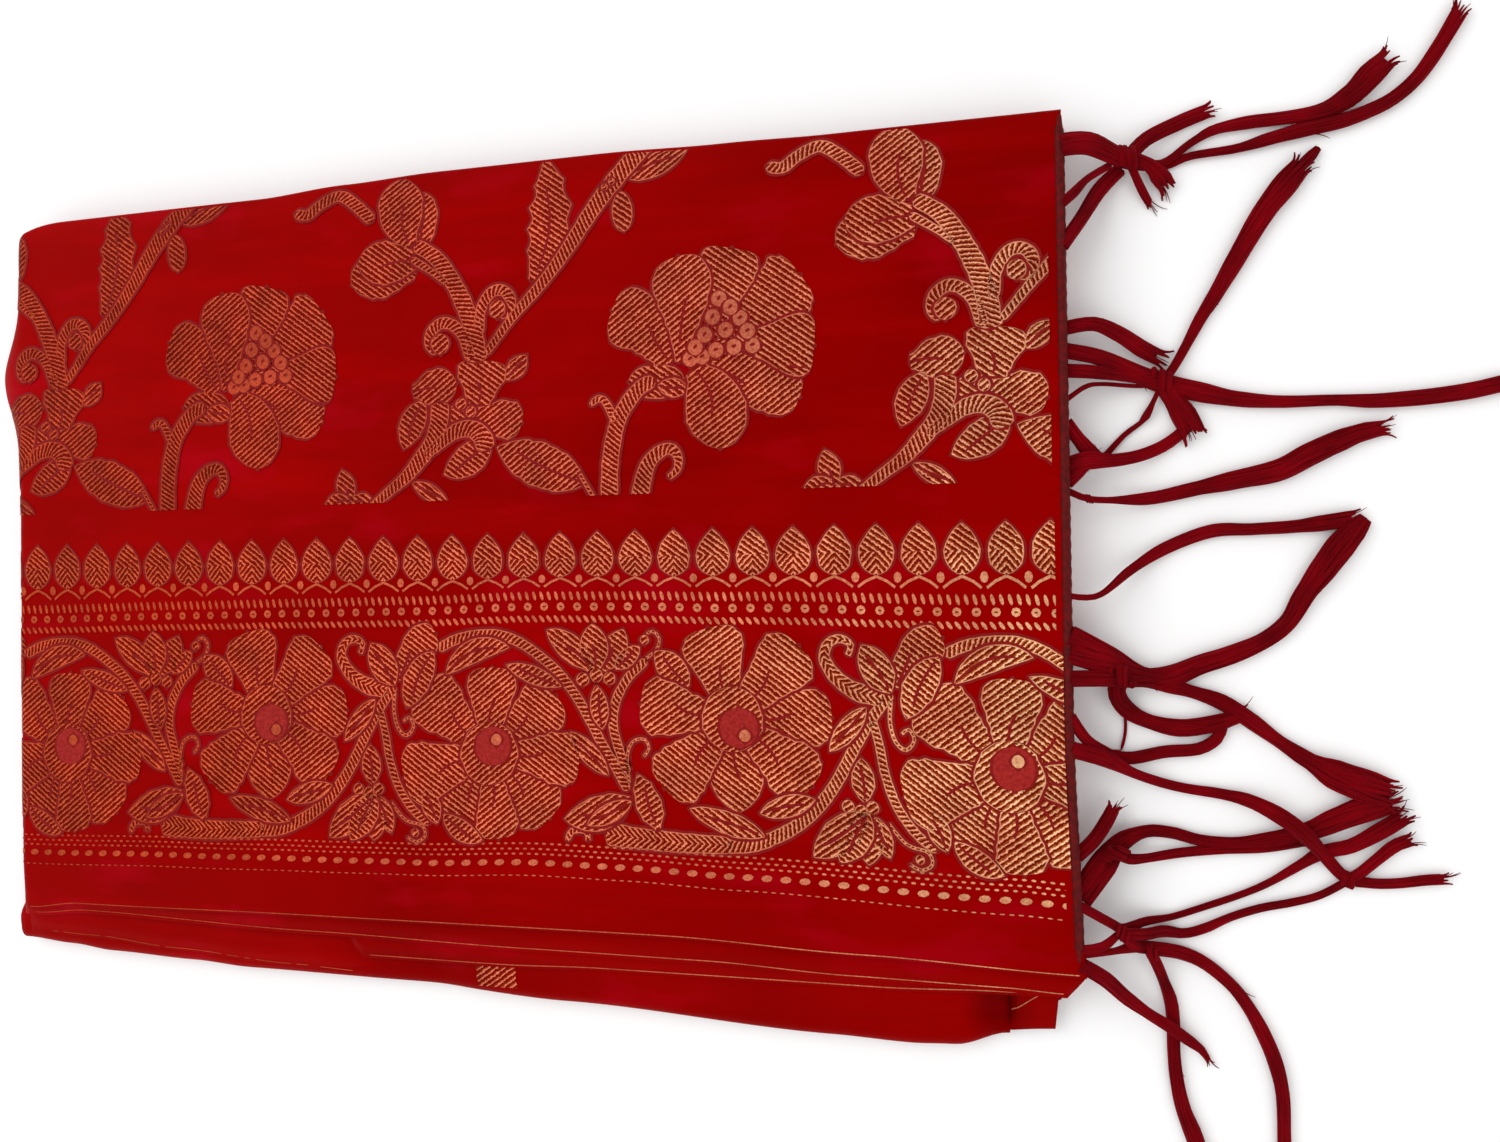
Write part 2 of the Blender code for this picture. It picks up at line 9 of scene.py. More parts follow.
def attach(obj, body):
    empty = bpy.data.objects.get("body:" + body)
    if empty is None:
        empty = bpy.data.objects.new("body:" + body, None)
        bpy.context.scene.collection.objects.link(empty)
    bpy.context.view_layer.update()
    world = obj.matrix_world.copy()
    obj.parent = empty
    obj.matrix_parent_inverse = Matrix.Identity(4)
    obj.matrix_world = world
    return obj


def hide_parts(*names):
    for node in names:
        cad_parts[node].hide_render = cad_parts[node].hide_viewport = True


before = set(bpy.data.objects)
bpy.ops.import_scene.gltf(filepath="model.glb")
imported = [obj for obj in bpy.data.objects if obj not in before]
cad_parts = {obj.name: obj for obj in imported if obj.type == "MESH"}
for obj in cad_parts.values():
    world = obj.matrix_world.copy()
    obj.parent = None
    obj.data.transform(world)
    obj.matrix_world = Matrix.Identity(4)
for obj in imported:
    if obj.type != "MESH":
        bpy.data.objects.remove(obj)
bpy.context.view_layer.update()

# The tables are in millimetres, and each finished mesh is scaled to metres once.
# +X runs towards the fringe, +Y towards the nested back folds, +Z up from the floor.
mm = 0.001
print("frame loaded")

packet = {
    "left": -159.0,             # the plies' end, before the left fold rounds away
    "right": 158.4,             # the cut ends
    "front": -107.5,
    "back": 107.5,
    "stack": 14.0,              # height of all the plies together
    "step": 1.4,                # one showing ply down
    "foldOut": 4.4,             # how far the left fold stands out
    "foldBulge": 8.4,           # extra reach where it bellies out
    "bulgeAt": 58.0,
    "wrap": math.radians(150),
    "backCorner": 14.0,
    "stripBack": -74.0,         # the strips start under the face ply here
}

# Where each ply ends along the front, as rows of (x, y)
frontEdges = {
    "face": ((-159, -107.6), (-140, -105.6), (-60, -104.9), (50, -104.8), (104, -106.6), (158, -108.4)),
    "first": ((-165, -110.6), (-158, -110.2), (-140, -108.6), (-60, -110.6), (8, -111.8), (60, -112.0),
              (100, -113.4), (141, -113.75), (158, -114.4)),
    "second": ((-52, -106.0), (-44, -117.0), (0, -117.2), (30, -116.4), (105, -116.2), (141, -115.1),
               (150, -114.9), (158, -114.6)),
    "third": ((-168, -116.4), (-140, -117.2), (-110, -119.4), (-70, -121.8), (-28, -124.2)),
    "nose": ((-168, -119.2), (-151, -120.4), (-136, -121.8), (-106, -122.8), (-86, -123.9), (-29, -124.4),
             (18, -126.8), (95, -130.3), (116, -130.9), (127, -130.4), (141.4, -126.8)),
    "back": ((-159, -0.4), (-75, 0.0), (-45, 1.8), (-15, 2.9), (35, 3.1), (70, 2.2), (100, 1.5), (159, 1.3)),
}

# Soft creases in the face ply: from (x, y) to (x, y), depth, half width
creases = (
    (-158, 55, -92, 50, 0.34, 2.2), (-100, 57, -28, 53, 0.26, 2.6), (-60, 46, 20, 44, 0.30, 2.4),
    (10, 53, 62, 50, 0.24, 2.2), (84, 47, 126, 41, 0.32, 2.4), (112, 35, 157, 33, 0.26, 2.2),
    (-40, 61, 4, 59, -0.22, 2.6), (96, 55, 150, 45, -0.20, 3.0), (-156, 66, -128, 60, 0.26, 2.6),
    (-158, 15, -112, 18, 0.22, 3.0), (-30, 11, 60, 10, 0.14, 3.4), (60, 96, 104, 101, 0.18, 3.2),
    (-158, -12, -142, -9, 0.20, 2.6), (-157, -83, -120, -86, 0.16, 2.2), (118, -96, 157, -99, 0.22, 2.4),
    (-20, -97, 60, -98, 0.12, 2.4), (-95, 84, -60, 80, 0.18, 3.0), (20, 30, 34, 22, 0.15, 3.0),
)


def smooth(t):
    t = min(1.0, max(0.0, t))
    return t * t * (3 - 2 * t)


def along(table, x):
    if x <= table[0][0]:
        return table[0][1]
    for (x0, y0), (x1, y1) in zip(table, table[1:]):
        if x <= x1:
            return y0 + (y1 - y0) * smooth((x - x0) / (x1 - x0))
    return table[-1][1]


def troughLine(x):
    return 52.0 - 16.0 * max(0.0, (x + 60.0) / 202.0) ** 2


def creaseDepth(x, y):
    depth = 0.0
    for x0, y0, x1, y1, deep, wide in creases:
        t = (x - x0) / (x1 - x0)
        if -0.2 < t < 1.2:
            ends = smooth((t + 0.15) / 0.35) * smooth((1.15 - t) / 0.35)
            wander = 1.3 * math.sin(x / 17.0 + x0)
            depth += deep * ends * math.exp(-((y - y0 - (y1 - y0) * t - wander) / wide) ** 2)
    return depth


def height(x, y):
    z = packet["stack"]
    z -= 0.9 * math.exp(-((y - troughLine(x)) / 11.0) ** 2)
    z += 0.35 * math.sin(x / 41.0 + 0.6) * math.cos(y / 33.0)
    z -= 1.3 * min(1.3, max(0.0, (y - 96.0) / 11.5)) ** 2
    z -= 1.5 * max(0.0, (-92.0 - y) / 18.0) ** 1.5
    return z


def faceTop(x, y):
    return height(x, y) - creaseDepth(x, y)


def rightEnd(y):
    return packet["right"] + 1.6 * smooth((-45.0 - y) / 60.0)


def leanOut(x, y):
    # the right end leans out towards the front, flares, and is cut back at the front corner
    lean = (rightEnd(y) - packet["right"]) * smooth(x / packet["right"])
    corner = 1.2 * smooth((-98.0 - y) / 9.0) - 0.82 * min(9.5, max(0.0, -108.4 - y))
    return lean + corner * smooth((x - 118.0) / 40.0)


def flare(y):
    # the left fold opens towards the front corner
    return smooth((-99.0 - y) / 14.0)


def foldReach(y):
    belly = math.exp(-((y - packet["bulgeAt"]) / 15.0) ** 2)
    return packet["foldOut"] + packet["foldBulge"] * belly + flare(y)


def backLine(x):
    t = (packet["left"] + packet["backCorner"] - x) / (packet["backCorner"] + packet["foldOut"])
    t = min(1.0, max(0.0, t))
    return packet["back"] + along(frontEdges["back"], x) - 6.5 * (1 - math.sqrt(1 - t * t))


# A point on the face ply: u runs along its length, and past the packet's end it goes on round the left fold
def drape(u, y, lift=0.0):
    if u >= packet["left"]:
        x = u + leanOut(u, y)
        z = faceTop(x, y)
        slopeX = (faceTop(x + 0.5, y) - faceTop(x - 0.5, y))
        slopeY = (faceTop(x, y + 0.5) - faceTop(x, y - 0.5))
        normal = Vector((-slopeX, -slopeY, 1.0)).normalized()
        return Vector((x, y, z)) + normal * lift
    reach = foldReach(y)
    half = faceTop(packet["left"], y) / 2
    angle, left, step = 0.0, packet["left"] - u, 0.5
    while left > 0:
        run = min(step, left)
        angle += run / math.hypot(reach * math.cos(angle), half * math.sin(angle))
        left -= run
    normal = Vector((-math.sin(angle) / reach, 0.0, math.cos(angle) / half)).normalized()
    place = Vector((packet["left"] - reach * math.sin(angle), y, half + half * math.cos(angle)))
    return place + normal * lift


# Helpers that every piece uses
def lattice(bm, columns, rows):
    made = bmesh.ops.create_grid(bm, x_segments=columns, y_segments=rows, size=0.5)["verts"]
    return [(v, round((v.co.x + 0.5) * columns), round((v.co.y + 0.5) * rows)) for v in made]


def wovenMesh():
    bm = bmesh.new()
    bm.loops.layers.uv.new("weave")
    return bm


def addPiece(name, bm, materials, replaced=()):
    bmesh.ops.scale(bm, vec=(mm, mm, mm), verts=bm.verts)
    mesh = bpy.data.meshes.new(name)
    bm.to_mesh(mesh)
    bm.free()
    mesh.shade_smooth()
    piece = bpy.data.objects.new(name, mesh)
    bpy.context.scene.collection.objects.link(piece)
    for material in materials:
        mesh.materials.append(material)
    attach(piece, "root")
    if replaced:
        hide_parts(*replaced)
    return piece


def giveThickness(piece, thickness):
    wall = piece.modifiers.new("thickness", "SOLIDIFY")
    wall.thickness = thickness * mm
    wall.offset = -1.0
    wall.use_even_offset = True


# Materials
def colour(red, green, blue):
    return tuple((c / 255.0) ** 2.2 for c in (red, green, blue)) + (1.0,)


def newMaterial(name):
    material = bpy.data.materials.new(name)
    material.use_nodes = True
    return material, material.node_tree, material.node_tree.nodes["Principled BSDF"]


def node(tree, kind, inputs=(), **settings):
    made = tree.nodes.new(kind)
    for key, value in settings.items():
        setattr(made, key, value)
    for key, value in dict(inputs).items():
        if isinstance(value, bpy.types.NodeSocket):
            tree.links.new(value, made.inputs[key])
        else:
            made.inputs[key].default_value = value
    return made


def sums(tree, operation, a, b=0.0):
    return node(tree, "ShaderNodeMath", {0: a, 1: b}, operation=operation).outputs[0]


def blendColour(tree, factor, a, b):
    made = node(tree, "ShaderNodeMix", {0: factor, 6: a, 7: b}, data_type="RGBA")
    return made.outputs[2]


def ramp(tree, value, stops):
    made = node(tree, "ShaderNodeValToRGB", {0: value})
    elements = made.color_ramp.elements
    while len(elements) < len(stops):
        elements.new(0.5)
    for element, (place, shade) in zip(elements, stops):
        element.position = place
        element.color = shade
    return made.outputs[0]


silkTones = {
    "field": colour(146, 2, 3),
    "deep": colour(126, 1, 3),
    "warm": colour(166, 5, 5),
    # painted sheen: a pink laid over the red in patches
    "paintedPinkSheen": colour(168, 8, 30),
    "glint": (1.0, 0.05, 0.04, 1.0),
    "threadsPerMetre": 640.0,
    "hollow": (0.139, -0.1195, 0.003),      # metres: where the painted shade of the hollow beside the turned corner is centred
    "paintedShadeReach": (0.0035, 0.0105),
}


def noise(tree, place, scale, detail):
    return node(tree, "ShaderNodeTexNoise", {"Vector": place, "Scale": scale, "Detail": detail}).outputs[0]


def stretch(tree, place, scale):
    return node(tree, "ShaderNodeMapping", {"Vector": place, "Scale": scale}).outputs[0]


def between(tree, value, low, high, toLow, toHigh):
    return node(tree, "ShaderNodeMapRange", {0: value, 1: low, 2: high, 3: toLow, 4: toHigh}).outputs[0]


def greys(*stops):
    return [(place, (shade, shade, shade, 1)) for place, shade in stops]


def ribs(tree, place, scale, distortion, direction):
    return node(tree, "ShaderNodeTexWave", {"Vector": place, "Scale": scale, "Distortion": distortion,
                                            "Detail": 1.0, "Detail Scale": 0.4},
                bands_direction=direction).outputs["Fac"]


def dress(tree, shader, tone, relief, strength, distance, settings):
    # every cloth and yarn has a tone, a relief and its shader's own constants
    tree.links.new(tone, shader.inputs["Base Color"])
    bump = node(tree, "ShaderNodeBump", {"Height": relief, "Strength": strength, "Distance": distance})
    tree.links.new(bump.outputs[0], shader.inputs["Normal"])
    for socket, value in settings.items():
        shader.inputs[socket].default_value = value


def silk(name, base):
    material, tree, shader = newMaterial(name)
    place = node(tree, "ShaderNodeTexCoord").outputs["Object"]
    broad = ramp(tree, noise(tree, place, 11.0, 3.0), greys((0.32, 0), (0.68, 1)))
    tone = blendColour(tree, broad, silkTones["deep"], base)
    streaks = noise(tree, stretch(tree, place, (14.0, 120.0, 40.0)), 1.0, 4.0)
    tone = blendColour(tree, ramp(tree, streaks, greys((0.45, 0), (0.75, 0.45))), tone, silkTones["warm"])
    # Painted sheen: pink patches of noise laid over the silk's red.
    patches = noise(tree, stretch(tree, place, (26.0, 60.0, 10.0)), 1.0, 5.0)
    tone = blendColour(tree, ramp(tree, patches, greys((0.56, 0), (0.74, 0.6))), tone, silkTones["paintedPinkSheen"])
    scale = silkTones["threadsPerMetre"]
    weft = ribs(tree, place, scale, 0.6, "Y")
    warp = ribs(tree, place, scale * 1.15, 0.5, "X")
    ribbed = sums(tree, "MULTIPLY", sums(tree, "ADD", weft, warp), 0.5)
    shaded = blendColour(tree, sums(tree, "MULTIPLY", ribbed, 0.22), tone, silkTones["deep"])
    # Painted light: the silk's value runs from 1.16 at the left end to 0.90 at the right, as the key light
    # falls off.
    side = node(tree, "ShaderNodeSeparateXYZ", {0: place}).outputs[0]
    # Painted shade: the silk's value falls to 0.6 near the hollow beside the turned corner.
    away = node(tree, "ShaderNodeVectorMath", {0: place, 1: silkTones["hollow"]},
                operation="DISTANCE").outputs["Value"]
    near, far = silkTones["paintedShadeReach"]
    value = sums(tree, "MULTIPLY", between(tree, side, -0.16, 0.16, 1.16, 0.90),
                 between(tree, away, near, far, 0.6, 1.0))
    shaded = node(tree, "ShaderNodeHueSaturation", {"Color": shaded, "Value": value}).outputs[0]
    tree.links.new(ramp(tree, ribbed, greys((0.0, 0.52), (1.0, 0.68))), shader.inputs["Roughness"])
    dress(tree, shader, shaded, ribbed, 0.25, 0.00006,
          {"Specular IOR Level": 0.05, "Specular Tint": silkTones["glint"], "Sheen Weight": 0.04,
           "Sheen Roughness": 0.4, "Sheen Tint": silkTones["glint"]})
    return material


# Two casts of the same gold, each as (line between picks, light pick, dark pick)
goldTones = {
    "rose": (colour(114, 12, 2), colour(232, 124, 92), colour(142, 38, 14)),
    "pale": (colour(108, 24, 5), colour(250, 196, 150), colour(160, 82, 42)),
    "left": (0.82, 0.50, 0.33, 1.0),
    "field": (0.86, 0.70, 0.74, 1.0),
    "glint": (1.0, 0.55, 0.3, 1.0),
}


def goldCast(tree, phase, shades):
    line, light, dark = shades
    return ramp(tree, phase, ((0.0, line), (0.26, line), (0.39, light), (0.52, light), (0.66, dark),
                              (0.80, dark), (0.92, line)))


def gold(name, lined):
    material, tree, shader = newMaterial(name)
    weaveMap = node(tree, "ShaderNodeUVMap", uv_map="weave").outputs[0]
    place = node(tree, "ShaderNodeTexCoord").outputs["Object"]
    grain = noise(tree, place, 1500.0, 1.0)
    x, y, _ = node(tree, "ShaderNodeSeparateXYZ", {0: place}).outputs
    patches = between(tree, noise(tree, place, 45.0, 2.0), 0.36, 0.6, 0.5, 1.2)
    rightward = sums(tree, "POWER", between(tree, x, -0.03, 0.15, 0.0, 0.95), 2.2)
    pale = sums(tree, "MULTIPLY", rightward, patches)
    if lined:
        across = node(tree, "ShaderNodeSeparateXYZ", {0: weaveMap}).outputs[0]
        ragged = sums(tree, "MULTIPLY", sums(tree, "SUBTRACT", grain, 0.5), 0.7)
        phase = sums(tree, "FRACT", sums(tree, "ADD", across, ragged))
        casts = [goldCast(tree, phase, goldTones[cast]) for cast in ("rose", "pale")]
        relief = ramp(tree, phase, greys((0.0, 0), (0.2, 0), (0.34, 1), (0.8, 0.7), (1.0, 0)))
    else:
        casts = [blendColour(tree, grain, goldTones[cast][2], goldTones[cast][1])
                 for cast in ("rose", "pale")]
        relief = grain
    tone = blendColour(tree, pale, *casts)
    leftward = between(tree, x, 0.0, -0.10, 0.0, 0.95)
    upward = between(tree, y, 0.002, 0.022, 0.0, 1.0)
    for amount, shade in ((leftward, "left"), (upward, "field")):
        tone = node(tree, "ShaderNodeMix", {0: amount, 6: tone, 7: goldTones[shade]},
                    data_type="RGBA", blend_type="MULTIPLY").outputs[2]
    value = between(tree, noise(tree, place, 90.0, 2.0), 0.3, 0.7, 0.78, 1.16)
    tone = node(tree, "ShaderNodeHueSaturation", {"Color": tone, "Value": value}).outputs[0]
    dress(tree, shader, tone, relief, 0.5, 0.00012,
          {"Metallic": 0.2, "Roughness": 0.46, "Specular Tint": goldTones["glint"],
           "Specular IOR Level": 0.08})
    return material


def thread(name, tones, scale):
    material, tree, shader = newMaterial(name)
    place = node(tree, "ShaderNodeTexCoord").outputs["Object"]
    grain = noise(tree, place, scale, 2.0)
    tone = ramp(tree, grain, ((0.3, tones[0]), (0.7, tones[1])))
    dress(tree, shader, tone, grain, 0.3, 0.0001, {"Roughness": 0.62, "Specular IOR Level": 0.15})
    return material


# Yarn reds: a painted shade and a painted lit red, the sheen tint and the fibres across a strand
fringeTones = {
    "shadedYarn": colour(64, 1, 5),
    "lit": colour(146, 4, 22),
    "sheen": (0.8, 0.05, 0.10, 1.0),
    "fibresAcross": 34.0,
}


def yarn(name):
    material, tree, shader = newMaterial(name)
    strandMap = node(tree, "ShaderNodeUVMap", uv_map="weave").outputs[0]
    place = node(tree, "ShaderNodeTexCoord").outputs["Object"]
    streaks = noise(tree, stretch(tree, strandMap, (0.5, fringeTones["fibresAcross"], 1.0)), 1.0, 3.0)
    broad = noise(tree, place, 70.0, 2.0)
    mixed = sums(tree, "ADD", sums(tree, "MULTIPLY", streaks, 0.65), sums(tree, "MULTIPLY", broad, 0.35))
    # Painted light and shade: the yarn's tone runs from a painted shade to a painted lit red along its
    # fibres.
    tone = ramp(tree, mixed, ((0.34, fringeTones["shadedYarn"]), (0.66, fringeTones["lit"])))
    dress(tree, shader, tone, streaks, 0.6, 0.0003,
          {"Roughness": 0.8, "Specular IOR Level": 0.04, "Sheen Weight": 0.2, "Sheen Roughness": 0.5,
           "Sheen Tint": fringeTones["sheen"]})
    return material


redSilk = silk("crimsonSilk", silkTones["field"])
goldHatch = gold("zariHatched", True)
goldEdge = gold("zariEdge", False)
binding = thread("bindingRed", (colour(118, 2, 3), colour(134, 3, 4)), 900.0)
# The rolled head's own maroon, darkened further as painted shade along the cut ends.
shadedHeadRed = thread("shadedHeadRed", (colour(74, 3, 6), colour(104, 5, 9)), 700.0)
rose = thread("roseSilk", (colour(136, 19, 17), colour(164, 38, 32)), 1100.0)
maroonYarn = yarn("maroonYarn")
print("materials made")


# The face ply: flat over the packet, then down round the left fold
faceSilk = {"topColumns": 160, "foldColumns": 20, "rows": 166, "thickness": 0.42, "lip": 1.3, "lipRows": 4}


def makeFaceSilk():
    look = faceSilk
    bm = bmesh.new()
    columns = look["topColumns"] + look["foldColumns"]
    rows = look["rows"] + look["lipRows"]
    for v, i, j in lattice(bm, columns, rows):
        folded = look["foldColumns"] - i
        angle = packet["wrap"] * folded / look["foldColumns"] if folded > 0 else 0.0
        u = packet["left"] + (packet["right"] - packet["left"]) * max(0, -folded) / look["topColumns"]
        noseX = packet["left"] - packet["foldOut"] * math.sin(angle)
        front = along(frontEdges["face"], u)
        back = backLine(noseX if folded > 0 else u)
        turn = max(0, j - look["rows"]) / look["lipRows"] * math.pi / 2
        y = front + (back - look["lip"] - front) * min(1.0, j / look["rows"])
        drop = look["lip"] * (1 - math.cos(turn))
        out = look["lip"] * math.sin(turn)
        if folded > 0:
            reach = foldReach(y) - drop
            half = faceTop(packet["left"], y) / 2
            v.co = (packet["left"] - reach * math.sin(angle), y + out,
                    half + (half - drop) * math.cos(angle))
        else:
            v.co = drape(u, y) + Vector((0.0, out, -drop))
    return addPiece("face_silk", bm, [redSilk], ["face_ply"])


# The plies that step out along the front
stripLook = {"rows": 34, "columns": 150, "thickness": 0.42, "droop": 0.85, "droopWidth": 4.5,
             "wrapColumns": 12, "foldIn": 3.8, "foldOut": 8.1}


def stripTop(edge, depth, x, y):
    front = along(frontEdges[edge], x)
    fall = stripLook["droop"] * (1 - smooth((y - front) / stripLook["droopWidth"]))
    if edge == "third":   # it sinks into the centre fold at its right end
        fall += 2.6 * smooth((x + 62.0) / 34.0)
    return height(x, y) - depth - fall


def makeStrip(name, edge, depth, fromX, toX, wrapped, solid):
    look = stripLook
    bm = bmesh.new()
    extra = look["wrapColumns"] if wrapped else 0
    for v, i, j in lattice(bm, look["columns"] + extra, look["rows"]):
        folded = max(0, extra - i)
        angle = packet["wrap"] * folded / look["wrapColumns"]
        x = fromX + (toX - fromX) * max(0, i - extra) / look["columns"]
        front = along(frontEdges[edge], x)
        y = front + (packet["stripBack"] - front) * (j / look["rows"]) ** 1.3
        z = stripTop(edge, depth, x, y)
        if folded:
            middle = height(packet["left"], y) / 2
            out = look["foldIn"] + (look["foldOut"] - look["foldIn"]) * flare(y)
            v.co = (x - out * math.sin(angle), y, middle + (z - middle) * math.cos(angle))
        else:
            v.co = (x + leanOut(x, y), y, z)
    piece = addPiece(name, bm, [redSilk], [solid])
    giveThickness(piece, look["thickness"])
    return piece


def centreTop(x, y):
    depth = packet["step"] * (4 - smooth((x + 22.0) / 14.0))
    hollow = 4.2 * math.exp(-((x - 140.0) / 7.0) ** 2 - ((y + 119.0) / 7.0) ** 2)
    return height(x, y) - depth - hollow


centreLook = {"columns": 150, "legRows": 22, "noseRows": 16, "reach": 4.0, "thickness": 0.45,
              "left": -171.0, "right": 141.4, "roundedLeft": 2.2, "tucked": 0.3}


def tuckIn(x, y):
    # past the left fold the sheet only shows at the front corner
    past = packet["left"] - x
    shown = centreLook["tucked"] + (1 - centreLook["tucked"]) * flare(y)
    return packet["left"] - past * shown if past > 0 else x


def centreFoldPlace(x, along01):
    # 0 is the hidden end of the upper leg, 1 the front of the flat part, 2 the end of the turned nose
    look = centreLook
    nose = along(frontEdges["nose"], x) + look["reach"]
    t = max(0.0, (look["left"] + look["roundedLeft"] - x) / look["roundedLeft"])
    shrink = math.sqrt(max(0.04, 1 - t * t))
    if along01 <= 1.0:
        y = packet["stripBack"] + (nose - packet["stripBack"]) * along01
        half = centreTop(x, y) / 2
        return Vector((tuckIn(x, y), y, half + half * shrink))
    angle = packet["wrap"] * (along01 - 1.0)
    half = centreTop(x, nose) / 2
    y = nose - look["reach"] * math.sin(angle) * shrink
    return Vector((tuckIn(x, y), y, half + half * math.cos(angle) * shrink))


def makeCentreFold():
    look = centreLook
    bm = bmesh.new()
    rows = look["legRows"] + look["noseRows"]
    for v, i, j in lattice(bm, look["columns"], rows):
        row = rows - j
        x = look["left"] + (look["right"] - look["left"]) * i / look["columns"]
        if row <= look["legRows"]:
            place = row / look["legRows"]
        else:
            place = 1.0 + (row - look["legRows"]) / look["noseRows"]
        v.co = centreFoldPlace(x, place)
    piece = addPiece("centre_fold_silk", bm, [redSilk], ["centre_fold"])
    giveThickness(piece, look["thickness"])
    return piece


cornerLook = {"left": 137.0, "right": 156.0, "back": -99.0, "frontLeft": -125.8, "frontRight": -124.4,
              "columns": 20, "rows": 30, "thickness": 0.42}


def cornerPlace(u, w):
    look = cornerLook
    x = look["left"] + (look["right"] - look["left"]) * u
    front = look["frontLeft"] + (look["frontRight"] - look["frontLeft"]) * u
    y = front + (look["back"] - front) * w
    x -= 3.0 * (1 - w) * u
    z = height(x, y) - 3 * packet["step"] - 2.2 * (1 - w) ** 2 - 0.8 * u * (1 - w)
    z += 0.18 * math.sin(u * 7.0 + w * 3.0) * (1 - w)
    under = centreTop(x, y) - 0.75
    if z > under:
        z += (under - z) * (1 - smooth((x - 141.4) / 3.0))
    return Vector((x, y, z))


def makeCorner():
    bm = bmesh.new()
    for v, i, j in lattice(bm, cornerLook["columns"], cornerLook["rows"]):
        v.co = cornerPlace(i / cornerLook["columns"], j / cornerLook["rows"])
    piece = addPiece("turned_corner_silk", bm, [redSilk], ["turned_corner"])
    giveThickness(piece, cornerLook["thickness"])
    return piece


# The hidden plies: one rounded stack with a nose for each nest of folds round its edges
stackLook = {"columns": 90, "rows": 60, "stepRow": 16, "stepLine": -70.6, "stepWidth": 1.8, "rim": 2.6,
             "noses": 8, "levelsPerNose": 6, "nose": 1.25, "underFace": 0.6}


def stackTop(x, y):
    if y > stackLook["stepLine"]:
        return faceTop(x, y) - stackLook["underFace"]
    return centreTop(x, y) - packet["step"] - 0.5 - 1.6 * smooth((x - 112.0) / 14.0)


def stackPlace(u, row):
    look = stackLook
    rim = look["rim"]
    x = packet["left"] + rim + (packet["right"] - packet["left"] - 2 * rim) * u
    front = along(frontEdges["nose"], x) + 6.4 + 4.0 * smooth((x - 122.0) / 12.0)
    back = backLine(x - rim) - rim
    if row < look["stepRow"]:
        y = front + (look["stepLine"] - look["stepWidth"] - front) * row / (look["stepRow"] - 1)
    else:
        y = look["stepLine"] + 0.01
        y += (back - look["stepLine"]) * (row - look["stepRow"]) / (look["rows"] - look["stepRow"])
    x += leanOut(x, y)
    return Vector((x, y, stackTop(x, y)))


def noseOut(fall, here, seed):
    # how far a nest of folds stands out at this fall down the side, wandering along its length
    nest = fall * stackLook["noses"]
    count = math.floor(nest)
    round01 = math.sin(math.pi * (nest - count))
    own = 0.72 + 0.28 * math.sin(here / 27.0 + count * 2.4 + seed) * math.cos(here / 61.0 - count * 1.3)
    return stackLook["nose"] * (round01 ** 0.55) * own


def stackSide(u, row, fall):
    look = stackLook
    point = stackPlace(u, row)
    x, y = point.x, point.y
    z = point.z * (1 - fall)
    if u < 0.001:
        half = packet["stack"] / 2
        rise = min(1.0, abs(z - half) / (half - 1.0))
        room = max(0.0, 0.92 * foldReach(y) - 1.4) * math.sqrt(1 - rise * rise)
        x = packet["left"] - room * smooth((y - packet["front"] - 1.0) / 8.0) \
            * smooth((packet["back"] - 2.0 - y) / 8.0)
    elif u > 0.999:
        x += look["rim"] - look["nose"] - 0.2 + noseOut(fall, y, 1.0)
    if row == look["rows"]:
        y += look["rim"] - look["nose"] - 0.1 + noseOut(fall, x, 4.0)
    elif row == 0:
        y -= math.sin(math.pi * fall)
    return Vector((x, y, z))


def makeStack():
    look = stackLook
    bm = bmesh.new()
    place = {}
    for v, i, j in lattice(bm, look["columns"], look["rows"]):
        place[v] = (i / look["columns"], j)
        v.co = stackPlace(*place[v])
    loop = [e for e in bm.edges if e.is_boundary]
    levels = look["noses"] * look["levelsPerNose"]
    for level in range(1, levels + 1):
        made = bmesh.ops.extrude_edge_only(bm, edges=loop)["geom"]
        loop = [g for g in made if isinstance(g, bmesh.types.BMEdge)]
        fresh = {v for e in loop for v in e.verts}
        for v in fresh:
            above = next(e.other_vert(v) for e in v.link_edges if e.other_vert(v) not in fresh)
            place[v] = place[above]
        for v in fresh:
            v.co = stackSide(*place[v], level / levels)
    bmesh.ops.contextual_create(bm, geom=loop)
    bmesh.ops.recalc_face_normals(bm, faces=bm.faces)
    return addPiece("nested_plies", bm, [redSilk], ["folded_plies"])


faceSheet = makeFaceSilk()
giveThickness(faceSheet, faceSilk["thickness"])
print("face ply laid")
firstStrip = makeStrip("selvedge_silk_1", "first", packet["step"], -158.6, 158.4, True, "selvedge_ply_1")
secondStrip = makeStrip("selvedge_silk_2", "second", 2 * packet["step"], -52.0, 158.4, False,
                        "selvedge_ply_2")
thirdStrip = makeStrip("selvedge_silk_3", "third", 3 * packet["step"], -157.0, -28.0, True,
                       "selvedge_ply_3")
centreSheet = makeCentreFold()
cornerSheet = makeCorner()
stackPiece = makeStack()
print("plies stacked")


# The fringe: a rolled head along the cut ends, and loose bundles of yarn drawn out of it
fringeLook = {"upperZ": 13.0, "lowerZ": 9.9, "headRadius": 1.25, "headFrom": -104.6, "headTo": 107.0,
              "headIn": 0.55, "headSteps": 210, "dropLength": 26.0, "knotDrop": 13.0, "clearance": 0.3,
              "step": 0.9,
              "coreSides": 12, "yarnSides": 5, "yarnPitch": 0.78, "mostYarns": 14, "brush": 3.4,
              "strayEvery": 55.0, "strayLength": 3.6, "strayRadius": 0.15}

